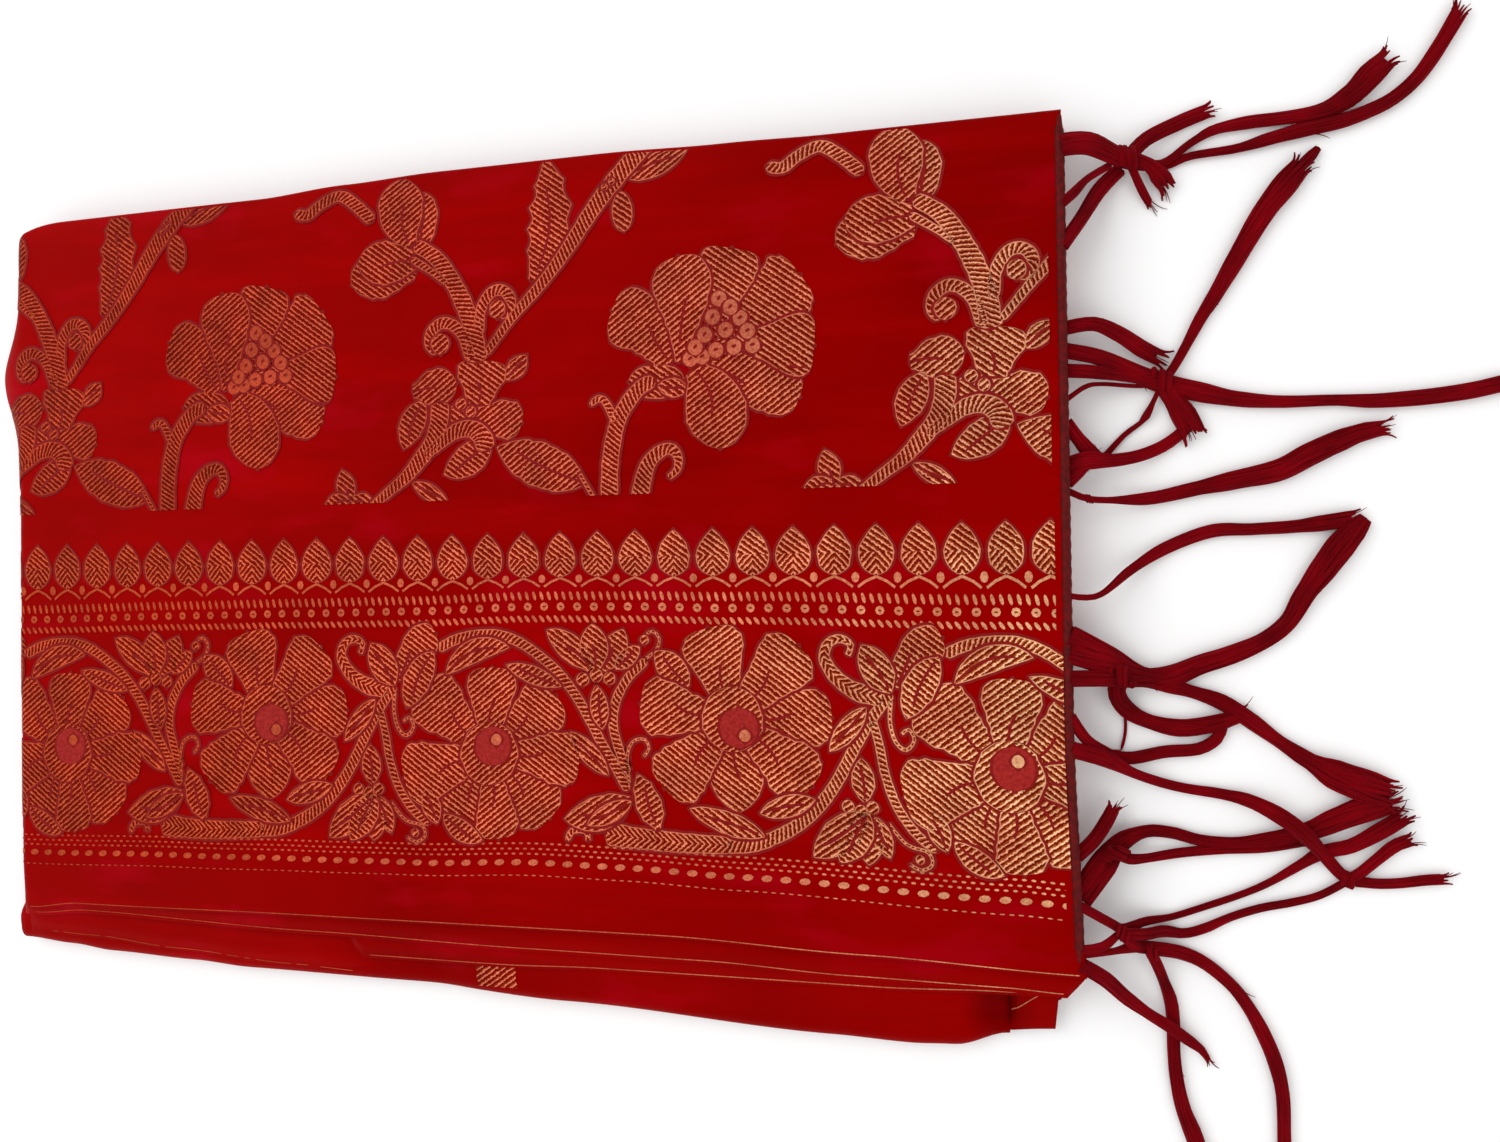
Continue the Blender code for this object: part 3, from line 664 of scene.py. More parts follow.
# Strands: where it starts, then a route of (x, y, width, lift over a crossing).
# The start is a place along the head, a knot, or None where it leaves another strand's end.
upperStrands = (
    (99.4, ((165, 99.6, 6), (173, 96.8, 5), (182.5, 95.2, 1.8), (189.5, 97.2, 2), (200.5, 98, 2.2),
        (208.5, 99.6, 3.2), (216.5, 101, 3.8), (224.5, 102.2, 3.8), (231, 104, 3.5), (236.5, 106.4, 3.4),
        (242, 111, 3.4), (247, 118, 3.7), (251, 125, 4))), (74, ((163, 81.5, 3.4), (167.5, 90, 3.8),
        (172.5, 95.4, 3.4))), (84.6, ((161.2, 87.2, 2.2), (164.5, 91.2, 1.6), (170, 95.6, 1.6))),
    ("a", ((182.5, 95.6, 1.8), (190, 100.6, 2), (195.5, 103.2, 2.6), (204, 104.2, 3.4), (211.5, 104.4, 3.4),
        (220.5, 105, 4.2), (227, 108, 5.4), (231.5, 112.4, 6.2), (235, 115.6, 5.2))),
    ("a", ((179, 101.8, 3.4), (187.5, 106, 3.4), (193, 107.8, 3.3))), ("a", ((179.5, 95, 3.6),
        (182.3, 92.2, 5.2), (183.6, 90.4, 4.6))), ("a", ((176, 93, 1.8), (178, 89, 1.9),
        (179.4, 86.6, 1.7))), (-13.4, ((165.5, -13.4, 1.5), (173.5, -7, 2.5), (182, -1.6, 3.3),
        (193, 2.4, 3.4), (202.5, 2.6, 3), (212, 3, 3.2), (219, 3.7, 4.1), (225, 4.6, 4))),
    (None, ((228.6, 4.6, 3.4), (226, 1.6, 5.8), (222.6, -2.4, 6.8), (219, -7.4, 6.4), (214.4, -14, 5),
        (210.5, -20.6, 4.2), (205, -25, 4.2), (197.5, -28.4, 4.9), (190, -31, 5), (183, -34, 5.5),
        (177, -34.6, 5), (172, -34, 4))), (-23.4, ((167.5, -29, 6.2), (174.5, -33.4, 5), (181, -36, 4.1),
        (188, -38, 3.2), (195, -40.6, 4.1), (201.5, -45, 4.1), (208, -50, 3.2), (214.5, -54.4, 4.3),
        (221, -58, 7.8), (227.5, -60.6, 8.4), (231.5, -62, 7.6))), (-27.6, ((167.5, -30.6, 5.6),
        (174.5, -33, 4.2), (181, -34.6, 3.4))), (-34, ((164.5, -34, 4.2), (171.5, -34.4, 4.2),
        (177, -35, 3.6))), ("c", ((169.6, -38, 4.2), (172, -42.4, 4.2), (177, -45.4, 3.4),
        (184.5, -47, 4.2), (192, -46, 4.2), (199, -43.8, 3.4))), (None, ((195, -46.6, 2.2),
        (193.4, -49.8, 2.7), (189, -52.4, 2.8), (181, -53.2, 2.9), (172.5, -55, 3), (166.5, -54, 2.6))),
    (-43.4, ((162, -49.4, 2.8), (166.5, -53, 3.2))), ("c", ((171.5, -44.4, 0.8), (171.4, -49, 0.8),
        (170.4, -53, 0.9))), (-51.6, ((167, -54.4, 4), (174, -58.6, 2.4), (184, -62, 2.4),
        (194.5, -63.6, 2.7), (201, -65, 3.4, 1), (207.5, -68, 4, 3), (213, -72.2, 3.9, 3.6),
        (217.6, -77.6, 3, 1.2), (222.5, -83, 2.8), (228, -84.2, 2.4), (234, -84, 2.4), (240, -83, 2.6),
        (243.6, -82.6, 2.6))), ("k", ((225.6, -82, 2.5), (229, -79, 2.5), (233.5, -75, 2.8),
        (236.4, -73.6, 2.8))), (-90, ((167, -94.8, 2.3), (170.2, -96.8, 2.6), (175.5, -95.6, 2.1),
        (182, -94.8, 1.6), (189.5, -92, 1.6), (198.5, -88.4, 1.6), (205, -85.2, 1.7), (212, -80.6, 2.2),
        (217.5, -77, 3.3), (224, -75.2, 3.5), (230.5, -71.4, 4.1), (235, -68.4, 4))),
    (-101.2, ((165, -100.4, 2.1), (168.6, -98, 1.6))), ("e", ((175, -98, 2.8), (180, -98.2, 2.7),
        (185, -98.8, 2.2), (190, -97.2, 2.2), (196, -94.2, 1.8), (203, -91.6, 1.8), (209.5, -90, 1.8),
        (216, -88, 1.7), (221, -85.2, 1.7), (224.6, -82.6, 1.8))), ("e", ((171.6, -99.8, 2.6),
        (173.4, -101.4, 2.8), (177, -102.6, 2.8))), (-102.6, ((167.5, -101.8, 1.6), (173, -101.2, 2.8),
        (178, -102.2, 3.5), (184.5, -103.6, 3.4), (190, -106, 3.1), (196, -111, 3), (200, -116.4, 3.1),
        (203.5, -123, 3.6), (206, -129.6, 3.8), (207.4, -137, 3.4), (207.6, -146, 3.1), (207.4, -156, 3.2),
        (206, -166, 3.4))), ("f", ((178, -105.4, 2.8), (179.8, -110.6, 2.6), (181.5, -116, 3.2),
        (182, -121.6, 3.2), (182, -128.6, 3.1), (182.6, -135.6, 3.3), (184, -142.6, 3.6),
        (186.4, -149, 4.2), (188.6, -156, 4))), (-105, ((165.5, -108.6, 3.8), (170.5, -114, 3.5, 0.6),
        (176, -118.4, 2.8, 2.4), (180.5, -121, 3, 3.4), (185, -124.6, 2.8, 1.6), (188.6, -127.8, 2),
        (190, -130, 1.4))),
)
lowerStrands = (
    (54, ((165.5, 55, 3.4), (171.5, 52.6, 3.8), (177, 49, 4.1), (180.6, 47, 3.9))),
    (48.4, ((166.5, 46.6, 4.2), (173.5, 43.6, 4.9), (182, 40, 5.4), (190.5, 37.4, 5.2), (199.5, 35.2, 4),
        (209.5, 34, 3.3), (222, 33.8, 2.9), (231, 33.2, 3.7), (241.5, 33.4, 3.9), (252, 34.4, 4.1),
        (260, 36, 4.1), (267, 37.4, 4))), (43.4, ((165, 43, 3.4), (173.5, 42, 2.8), (181, 40.6, 2.2))),
    ("b", ((184.5, 43.6, 2.2), (187.4, 48.6, 2.4), (191.4, 56, 3.1), (195, 61.6, 3.8), (200.5, 71, 4.8),
        (206.6, 81, 5.5), (211.6, 87.4, 6.2), (215, 91.4, 5.2))), (None, ((214, 90.6, 2.4),
        (217.4, 93.8, 2.6), (219.6, 96.2, 1.6))), ("b", ((184.5, 36, 5), (187, 31.6, 6.5),
        (188.8, 27.8, 6.3))), (35.8, ((163, 39.2, 1.3), (167, 40, 1.1), (175.5, 39.6, 1.1),
        (181, 39.8, 1.2))), ("b", ((180, 36, 1), (178, 32, 1.7), (176.6, 30.4, 1), (172.5, 27.4, 1.1),
        (168, 22.6, 1.3))), (30.4, ((160.8, 26.6, 3.4), (164, 22.6, 4.2))), (19, ((163.5, 20.6, 4.8),
        (169.5, 20.6, 3.3), (176.5, 22, 3.1), (182.5, 24.6, 3), (187, 28, 2.8))), (15, ((161.6, 18.4, 3.2),
        (163.4, 21, 3.6))), (13.2, ((162.5, 11.2, 1.6), (168, 10.6, 1.6), (178.5, 11, 3.1), (189, 13, 3.5),
        (199, 15, 4.6), (209, 17, 5.4), (216, 20.6, 5.7), (222.5, 23.6, 5.4), (228, 25.6, 4.4),
        (232.6, 26.4, 3.6))), (-89, ((165, -81.6, 7), (169.5, -76.2, 5), (176, -73.4, 3.2),
        (182.5, -73.6, 3.1), (189, -75.2, 2.9), (197.5, -75.6, 3), (206.5, -74, 3.6), (214, -72, 4.8),
        (220.5, -69, 5.8), (227, -66.2, 6.4), (233, -64.4, 5.4))), (-78.6, ((163, -75, 3.4),
        (166, -71, 3.4), (168, -67.6, 3.2))), ("d", ((172, -79.6, 2.6), (176.5, -79.8, 2.1),
        (184, -78.6, 2.3), (194, -77.2, 2.3), (204, -76.4, 2.3), (212, -74.8, 2.3))),
)
# Knots: name, x, y, radius, which way they run in degrees
knots = (("a", 174.5, 96.8, 3.0, -10), ("b", 182.0, 40.4, 3.0, -20), ("c", 170.5, -33.6, 3.0, -15),
         ("d", 168.6, -78.0, 2.6, 50), ("e", 170.0, -97.4, 1.9, -30), ("f", 176.6, -102.4, 1.9, -10),
         ("k", 223.0, -83.4, 2.0, -20), ("m", 163.6, 10.9, 1.1, -10))


def readRoute(points, step):
    # a smooth curve through the points: each reading is a place and the point that it comes from
    padded = [points[0]] + list(points) + [points[-1]]
    readings = [(points[0].copy(), 0.0)]
    for n, (a, b, c, d) in enumerate(zip(padded, padded[1:], padded[2:], padded[3:])):
        steps = max(1, round((c - b).length / step))
        for i in range(1, steps + 1):
            t = i / steps
            place = 0.5 * (2 * b + (c - a) * t + (2 * a - 5 * b + 4 * c - d) * t * t
                           + (3 * b - a - 3 * c + d) * t ** 3)
            readings.append((place, n + t))
    return readings


def framesAlong(points):
    frames = []
    for i in range(len(points)):
        ahead = (points[min(i + 1, len(points) - 1)] - points[max(i - 1, 0)]).normalized()
        side = ahead.cross(Vector((0, 0, 1))).normalized()
        frames.append((ahead, side, side.cross(ahead)))
    return frames


def tube(bm, points, frames, halves, rises, sides, tint=0.0):
    # a closed tube with its own half width and half height at each point
    uv = bm.loops.layers.uv.verify()
    run = [0.0]
    for a, b in zip(points, points[1:]):
        run.append(run[-1] + (b - a).length)
    cells = lattice(bm, sides, len(points) - 1)
    spot = {}
    for v, i, j in cells:
        angle = 2 * math.pi * i / sides
        _, side, up = frames[j]
        v.co = points[j] + side * math.cos(angle) * halves[j] + up * math.sin(angle) * rises[j]
        spot[v] = (run[j] / 4.0, i / sides + tint)
    for face in {f for v, _, _ in cells for f in v.link_faces}:
        for loop in face.loops:
            loop[uv].uv = spot[loop.vert]
    seam = [v for v, i, _ in cells if i in (0, sides)]
    bmesh.ops.remove_doubles(bm, verts=seam, dist=0.0005)
    ends = {v for v, _, j in cells if v.is_valid and j in (0, len(points) - 1)}
    edges = [e for e in bm.edges if e.is_boundary and e.verts[0] in ends]
    bmesh.ops.holes_fill(bm, edges=edges, sides=0)


def riseOf(width):
    return min(0.82 * width, 0.9 + 0.42 * width)


def yarnsOver(bm, places, frames, widths, brushed, chance):
    # single yarns side by side over the bundle, which go on past it as a brush where the strand ends
    look = fringeLook
    widest = max(widths)
    count = min(look["mostYarns"], round(0.95 * (widest + riseOf(widest)) / look["yarnPitch"]))
    picked = list(range(0, len(places) - 1, 2)) + [len(places) - 1]
    for n in range(count):
        base = math.pi * ((n + 0.5) / count * 1.24 - 0.12)
        phase, wave = chance.uniform(0, 6.3), chance.uniform(7.0, 15.0)
        deep = chance.uniform(0.80, 0.94)
        points, halves, axes = [], [], []
        for k in picked:
            width = widths[k]
            rise = riseOf(width)
            _, side, up = frames[k]
            angle = base + 0.34 * math.sin(k * look["step"] / wave + phase)
            thick = 0.60 * (width + rise) * 0.95 / count + 0.05
            points.append(places[k] + side * math.cos(angle) * (width / 2 * deep - thick * 0.3)
                          + up * math.sin(angle) * (rise / 2 * deep - thick * 0.2))
            halves.append(thick)
        if brushed:
            ahead, side, _ = frames[-1]
            reach = look["brush"] * chance.uniform(0.15, 1.0) * min(1.0, 0.35 + widths[-1] / 6.0)
            spread = side * math.cos(base) * chance.uniform(0.05, 0.5) + Vector((0, 0, -0.12))
            start, thick = points[-1].copy(), halves[-1]
            for t in (0.35, 0.7, 1.0):
                points.append(start + ahead * reach * t + spread * reach * t * t)
                halves.append(thick * (1 - 0.55 * t))
        for k, point in enumerate(points):
            point.z = max(point.z, halves[k] + 0.1)
        tube(bm, points, framesAlong(points), halves, halves, look["yarnSides"], n * 1.7)


def strayYarns(bm, places, frames, widths, brushed, chance):
    # fine loose yarns that leave the bundle here and there, and more of them at its end
    look = fringeLook
    tips = 3 if brushed else 0
    for n in range(int(len(places) * look["step"] / look["strayEvery"]) + tips):
        start = len(places) - 1 if n < tips else chance.randint(3, max(4, len(places) - 6))
        start = min(start, len(places) - 1)
        ahead, side, _ = frames[start]
        way = chance.uniform(-1, 1)
        reach = look["strayLength"] * chance.uniform(0.6, 1.3)
        points = []
        for k in range(5):
            t = k / 4
            out = widths[start] * 0.42 * way + reach * way * (0.1 + 0.4 * t) * t
            points.append(places[start] + ahead * reach * t + side * out)
            points[-1].z = max(0.3, points[-1].z + 0.3 * math.sin(3 * t))
        thin = look["strayRadius"]
        halves = [thin, thin, thin, thin * 0.8, thin * 0.4]
        tube(bm, points, framesAlong(points), halves, halves, 3, n * 0.9)


def knotWraps(bm, centre, radius, turn, chance):
    # yarns wound about the bundle in slanted turns, with their ends tucked in
    along01 = Vector((math.cos(turn), math.sin(turn), 0.0))
    side = Vector((math.sin(turn), -math.cos(turn), 0.0))
    steps = 40
    for n in range(3):
        points = []
        start = chance.uniform(0, 6.3)
        for k in range(steps + 1):
            t = k / steps
            angle = start + 2 * math.pi * 1.7 * t
            out = radius * (0.80 - 0.5 * (1 - smooth(min(t, 1 - t) * 6)))
            run = (t - 0.5 + 0.28 * (n - 1)) * radius * 1.1 + math.cos(angle) * radius * 0.35
            points.append(centre + side * math.cos(angle) * out + Vector((0, 0, math.sin(angle) * out * 0.72))
                          + along01 * run)
            points[-1].z = max(points[-1].z, 0.6)
        halves = [radius * 0.24] * len(points)
        tube(bm, points, framesAlong(points), halves, halves, 6, n * 2.3)


def makeFringe(name, headZ, strands, nodeName):
    look = fringeLook
    chance = random.Random(len(strands) * 7)
    bm = wovenMesh()
    spots = {knot: (Vector((x, y)), radius, math.radians(turn)) for knot, x, y, radius, turn in knots}
    levels = {}
    for start, route in strands:
        rooted = isinstance(start, (int, float))
        drop = look["dropLength"] if rooted else look["knotDrop"]
        if start is None:
            first = Vector((route[0][0], route[0][1], 0.0))
            z0 = look["clearance"] + riseOf(route[0][2]) / 2
        elif isinstance(start, str):
            first = spots[start][0].to_3d()
            z0 = levels.get(start, 2.0)
        else:
            first = Vector((rightEnd(start) - 0.2, start, 0.0))
            z0 = headZ + height(packet["right"], start) - height(packet["right"], 0)
        points, wides, run, here = [Vector((first.x, first.y, z0))], [route[0][2]], 0.0, first.xy
        for x, y, width, *lift in route:
            run += (Vector((x, y)) - here).length
            here = Vector((x, y))
            lie = look["clearance"] + riseOf(width) / 2
            z = lie + (z0 - lie) * (1 - smooth(run / drop))
            points.append(Vector((x, y, z + (lift[0] if lift else 0.0))))
            wides.append(width)
            for knot, (spot, radius, _) in spots.items():
                if rooted and (spot - here).length < 6.0:
                    levels.setdefault(knot, max(points[-1].z, radius * 0.8))
        if start is None:
            points, wides = points[1:], wides[1:]
        tied = any((spot - here).length < 6.5 for spot, _, _ in spots.values()) or start is None
        readings = readRoute(points, look["step"])
        places, widths = [], []
        for place, at in readings:
            n = min(int(at), len(wides) - 2)
            places.append(place)
            widths.append(wides[n] + (wides[n + 1] - wides[n]) * smooth(at - n))
        frames = framesAlong(places)
        last = len(places) - 1
        inner = [width * (0.40 if max(wides) > 1.3 else 0.5)
                 * (1 - 0.5 * (1 - smooth((last - k) * look["step"] / 2.4)) * (not tied))
                 for k, width in enumerate(widths)]
        tube(bm, places, frames, inner, [riseOf(2 * half) / 2 for half in inner], look["coreSides"])
        if max(wides) > 1.3:
            yarnsOver(bm, places, frames, widths, not tied, chance)
        strayYarns(bm, places, frames, widths, not tied, chance)
    for knot, (spot, radius, turn) in spots.items():
        if knot in levels:
            knotWraps(bm, Vector((spot.x, spot.y, levels[knot])), radius, turn, chance)
    # The rolled head: its maroon is darkened as painted shade along the cut ends.
    steps = look["headSteps"]
    head, thick = [], []
    for k in range(steps + 1):
        y = look["headFrom"] + (look["headTo"] - look["headFrom"]) * k / steps
        rise = height(packet["right"], y) - height(packet["right"], 0)
        head.append(Vector((rightEnd(y) - look["headIn"], y, headZ + rise)))
        ends = 0.55 + 0.45 * smooth(min(k, steps - k) / 5)
        thick.append(look["headRadius"] * ends * (1 + 0.07 * math.sin(k * 1.9)))
    known = set(bm.faces)
    tube(bm, head, framesAlong(head), thick, thick, 12)
    for face in bm.faces:
        face.material_index = int(face not in known)
    bmesh.ops.recalc_face_normals(bm, faces=bm.faces)
    return addPiece(name, bm, [maroonYarn, shadedHeadRed], [nodeName])


upperFringe = makeFringe("fringe_yarns_upper", fringeLook["upperZ"], upperStrands, "fringe_upper")
lowerFringe = makeFringe("fringe_yarns_lower", fringeLook["lowerZ"], lowerStrands, "fringe_lower")
print("fringe knotted")


# The zari: figures woven in gold weft, each one a ribbon laid on the silk
# A figure has a dark rim that parts it from the next, hatched gold inside its own edge, and often a vein.
zari = {"outline": 0.3, "halo": 0.78, "rowStep": 1.15, "columnStep": 2.2, "above": 0.12, "layer": 0.03,
        "pitch": 1.36, "slant": 0.62, "repeat": 143.0, "copies": (-2, -1, 0, 1),
        "back": 111.5, "backRoom": 1.2, "left": -173.5, "foldFrom": -157.5, "foldStep": 1.2, "ragged": 0.05}
hatched, edged, bound, plain, rosy = range(5)
zariMaterials = [goldHatch, goldEdge, binding, redSilk, rose]

# How wide each form is along its length: rise, fall, share of the width that its foot keeps,
# scallops and their depth, how far the vein runs
forms = {
    "petal": (1.0, 0.34, 0.46, 5, 0.07, 0.5),
    "fan": (1.2, 0.26, 0.16, 6, 0.06, 0.0),
    "point": (0.7, 0.75, 0.4, 0, 0.0, 0.55),
    "bud": (0.55, 0.85, 0.0, 0, 0.0, 0.0),
    "leaf": (0.75, 0.8, 0.1, 0, 0.0, 0.8),
    "round": (0.5, 0.5, 0.0, 0, 0.0, 0.0),
    "egg": (0.7, 0.55, 0.35, 0, 0.0, 0.6),
    "paddle": (1.25, 0.4, 0.12, 6, 0.05, 0.62),
    "lobe": (0.8, 0.4, 0.3, 4, 0.14, 0.0),
    "frond": (0.7, 0.8, 0.2, 5, 0.2, 0.75),
}
chance = random.Random(11)


def phaseOf(hatch, x, y, run, across):
    if hatch == "vine":
        return (run + 0.55 * across) / zari["pitch"]
    if hatch == "chevron":
        return (0.8 * run + 0.9 * abs(across)) / zari["pitch"]
    if hatch == "roof":
        return (0.8 * y + 0.8 * abs(across)) / zari["pitch"]
    return (y * math.cos(zari["slant"]) - hatch * x * math.sin(zari["slant"])) / zari["pitch"]


def ribbon(bm, line, halves, lift, inside, edge=None, hatch=1):
    # a strip along the line, with a narrow column for the edge on both sides
    uv = bm.loops.layers.uv.verify()
    columns = max(2, 2 * round(max(halves) / zari["columnStep"]))
    rim = 0 if edge is None else 1
    run = [0.0]
    for a, b in zip(line, line[1:]):
        run.append(run[-1] + (b - a).length)
    where = {}
    for v, i, j in lattice(bm, columns + 2 * rim, len(line) - 1):
        ahead = (line[min(j + 1, len(line) - 1)] - line[max(j - 1, 0)]).normalized()
        inner = halves[j] - min(zari["outline"], halves[j] * 0.6) * rim
        place = (i - rim) / columns * 2 - 1
        across = max(-1.0, min(1.0, place)) * inner
        if abs(place) > 1.0:
            across = math.copysign(halves[j], place)
        spot = line[j] + Vector((ahead.y, -ahead.x)) * across
        v.co = (spot.x, spot.y, lift)
        where[v] = (i, run[j], across)
    for face in {f for v in where for f in v.link_faces}:
        outer = rim and min(where[v][0] for v in face.verts) in (0, columns + 1)
        face.material_index = edge if outer else inside
        kind = "roof" if hatch == "lotus" and face.calc_center_median().y < -1.6 else hatch
        kind = -1 if kind == "lotus" else kind
        for loop in face.loops:
            _, along01, across = where[loop.vert]
            loop[uv].uv = (phaseOf(kind, loop.vert.co.x, loop.vert.co.y, along01, across), 0.0)


def figure(bm, line, halves, layer, hatch, inside=hatched):
    first = (line[0] - line[1]).normalized() * zari["halo"]
    last = (line[-1] - line[-2]).normalized() * zari["halo"]
    low = zari["above"] + zari["layer"] * 2 * layer
    ribbon(bm, [line[0] + first] + line + [line[-1] + last],
           [0.3] + [half + zari["halo"] for half in halves] + [0.3], low, bound)
    ribbon(bm, line, halves, low + zari["layer"], inside, edged if inside == hatched else None, hatch)


def petal(bm, base, tip, width, form, hatch, layer=0, bend=0.0, inside=hatched):
    rise, fall, foot, scallops, depth, vein = forms[form]
    base, tip = Vector(base), Vector(tip)
    length = (tip - base).length
    ahead = (tip - base) / length
    side = Vector((ahead.y, -ahead.x))
    rows = max(6, round(length / zari["rowStep"]))
    peakAt = rise / (rise + fall)
    peak = peakAt ** rise * (1 - peakAt) ** fall
    line, halves = [], []
    for k in range(rows + 1):
        s = 0.5 - 0.5 * math.cos(math.pi * k / rows)
        share = s ** rise * (1 - s) ** fall / peak
        if s < peakAt:
            share = max(share, foot + (1 - foot) * s / peakAt)
        half = 0.5 * width * share
        half *= 1 - depth * abs(math.sin(math.pi * scallops * s)) + chance.uniform(-1, 1) * zari["ragged"]
        line.append(base + ahead * length * s + side * bend * 4 * s * (1 - s))
        halves.append(max(0.16, half))
    figure(bm, line, halves, layer, hatch, inside)
    if vein:
        curl = side * width * 0.17 * (1 if hatch == 1 else -1)
        stroke = [base + ahead * length * vein * t + side * bend * 4 * vein * t * (1 - vein * t)
                  + curl * (t ** 3 - 0.5 * t) for t in (0.1, 0.3, 0.5, 0.7, 0.86, 0.96, 1.0)]
        ribbon(bm, stroke, [0.3, 0.34, 0.38, 0.4, 0.38, 0.3, 0.2],
               zari["above"] + zari["layer"] * (2 * layer + 1.6), bound)


def vine(bm, points, startWidth, endWidth, layer=0, hatch="vine"):
    points = [Vector(point) for point in points]
    readings = readRoute([point.to_3d() for point in points], 1.1)
    line = [place.xy for place, _ in readings]
    count = len(line) - 1
    halves = []
    for k in range(count + 1):
        half = (startWidth + (endWidth - startWidth) * k / count) / 2
        blunt = min(1.0, (min(k, count - k) + 0.35) / 1.6) if half > 0.8 else 1.0
        halves.append(half * blunt ** 0.5 * (1 + chance.uniform(-1, 1) * zari["ragged"]))
    figure(bm, line, halves, layer, hatch)


def dot(bm, x, y, wide, tall, material=edged, layer=0, turn=0.0):
    uv = bm.loops.layers.uv.verify()
    place = Matrix.Translation((x, y, zari["above"] + zari["layer"] * (2 * layer + 1)))
    place = place @ Matrix.Rotation(turn, 4, "Z") @ Matrix.Diagonal((wide / 2, tall / 2, 1, 1))
    made = bmesh.ops.create_circle(bm, cap_ends=True, segments=8, radius=1.0, matrix=place)["verts"]
    for face in {f for v in made for f in v.link_faces}:
        face.material_index = material
        for loop in face.loops:
            loop[uv].uv = (0.35, 0.0)


def disc(bm, x, y, radius, layer, inside=hatched, hatch=1):
    petal(bm, (x, y - radius), (x, y + radius), 2 * radius, "round", hatch, layer, 0.0, inside)


def flower(bm, centre, ring, eyeShift, petals):
    middle = Vector(centre)
    for n, (angle, reach, width, hatch, form) in enumerate(petals):
        ahead = Vector((math.cos(math.radians(angle)), math.sin(math.radians(angle))))
        layer = 2 if n == len(petals) - 1 else n % 2
        petal(bm, middle + ahead * (ring * 0.7), middle + ahead * reach, width, form, hatch, layer)
    disc(bm, centre[0], centre[1], ring, 3, hatched, 1)
    disc(bm, centre[0] + eyeShift[0], centre[1] + eyeShift[1], ring * 0.61, 4, rosy)
    disc(bm, centre[0] + eyeShift[0] * 1.9, centre[1] + eyeShift[1] * 1.9, 1.6, 5, edged)


# One repeat of the border's vine, 143 long
highFlower = ((71.0, -44.5), 8.6, (1.8, -2.2),
              ((105, 25, 18, 1, "petal"), (47, 27, 17, -1, "petal"), (3, 27, 15.5, -1, "petal"),
               (-38, 27, 16.5, 1, "petal"), (-87, 24.5, 15, -1, "point"), (-135, 27.5, 17, -1, "petal"),
               (173, 26, 16.5, 1, "petal")))
lowFlower = ((0.0, -55.6), 8.8, (1.2, 2.0),
             ((138, 28, 17.5, 1, "petal"), (87, 24, 16, 1, "petal"), (38, 26, 16, -1, "petal"),
              (-4, 27, 15.5, -1, "petal"), (-45, 25.5, 16.5, 1, "petal"), (-84, 24, 13.5, 1, "petal"),
              (-121, 23.5, 14, -1, "petal"), (194, 27.5, 19, -1, "petal")))
borderLeaves = (   # base, tip, width, form, hatch, bend
    ((59, -36), (49.5, -27), 8, "leaf", 1, 0), ((22, -37), (5.5, -31), 5, "leaf", 1, 0), ((-13, -33),
        (6.5, -26.2), 6.8, "leaf", 1, -3), ((31, -31.8), (18, -21.5), 7.5, "point", -1, 0.5), ((34, -32),
        (40.5, -21.2), 7.5, "point", -1, 0.5), ((32.3, -32), (31.5, -19.8), 8.5, "point", -1, 0),
    ((38, -32), (45.2, -25.8), 5, "leaf", -1, 0), ((34, -48.5), (32.4, -36.5), 5.5, "leaf", 1, 0),
    ((35.5, -61), (24.5, -49.5), 5.5, "leaf", -1, 0), ((42, -68), (29, -75), 5.5, "leaf", 1, 0),
    ((41.8, -67), (22.4, -73.6), 9.5, "leaf", 1, -1.4), ((49.5, -75), (44, -60.5), 8.5, "frond", 1, 0),
    ((79, -75), (58.5, -68.8), 6.2, "leaf", -1, 0), ((78, -69), (93, -64.5), 5.8, "leaf", 1, 0),
    ((107, -40), (97.2, -51.8), 5.6, "leaf", 1, 0), ((113.5, -36), (106, -24), 8.6, "leaf", -1, 0),
    ((115, -34.5), (126.8, -21.6), 10.5, "petal", -1, -2.2), ((126, -26.6),
        (117.4, -42.4), 8.6, "leaf", -1, 0.8), ((106, -64.2), (105.5, -53), 6.2, "leaf", -1, 0),
    ((106.5, -67), (92, -79.4), 9, "leaf", 1, 0), ((107.6, -67), (106.4, -80.2), 7.5, "leaf", 1, 0),
    ((107, -67), (99, -80.2), 8.5, "leaf", -1, 0), ((108, -67.5), (112, -78), 5.5, "leaf", -1, 0),
    ((126.5, -75), (123, -65), 5.8, "leaf", -1, 0), ((128.6, -72.4), (140.5, -80), 6, "leaf", 1, 1),
)
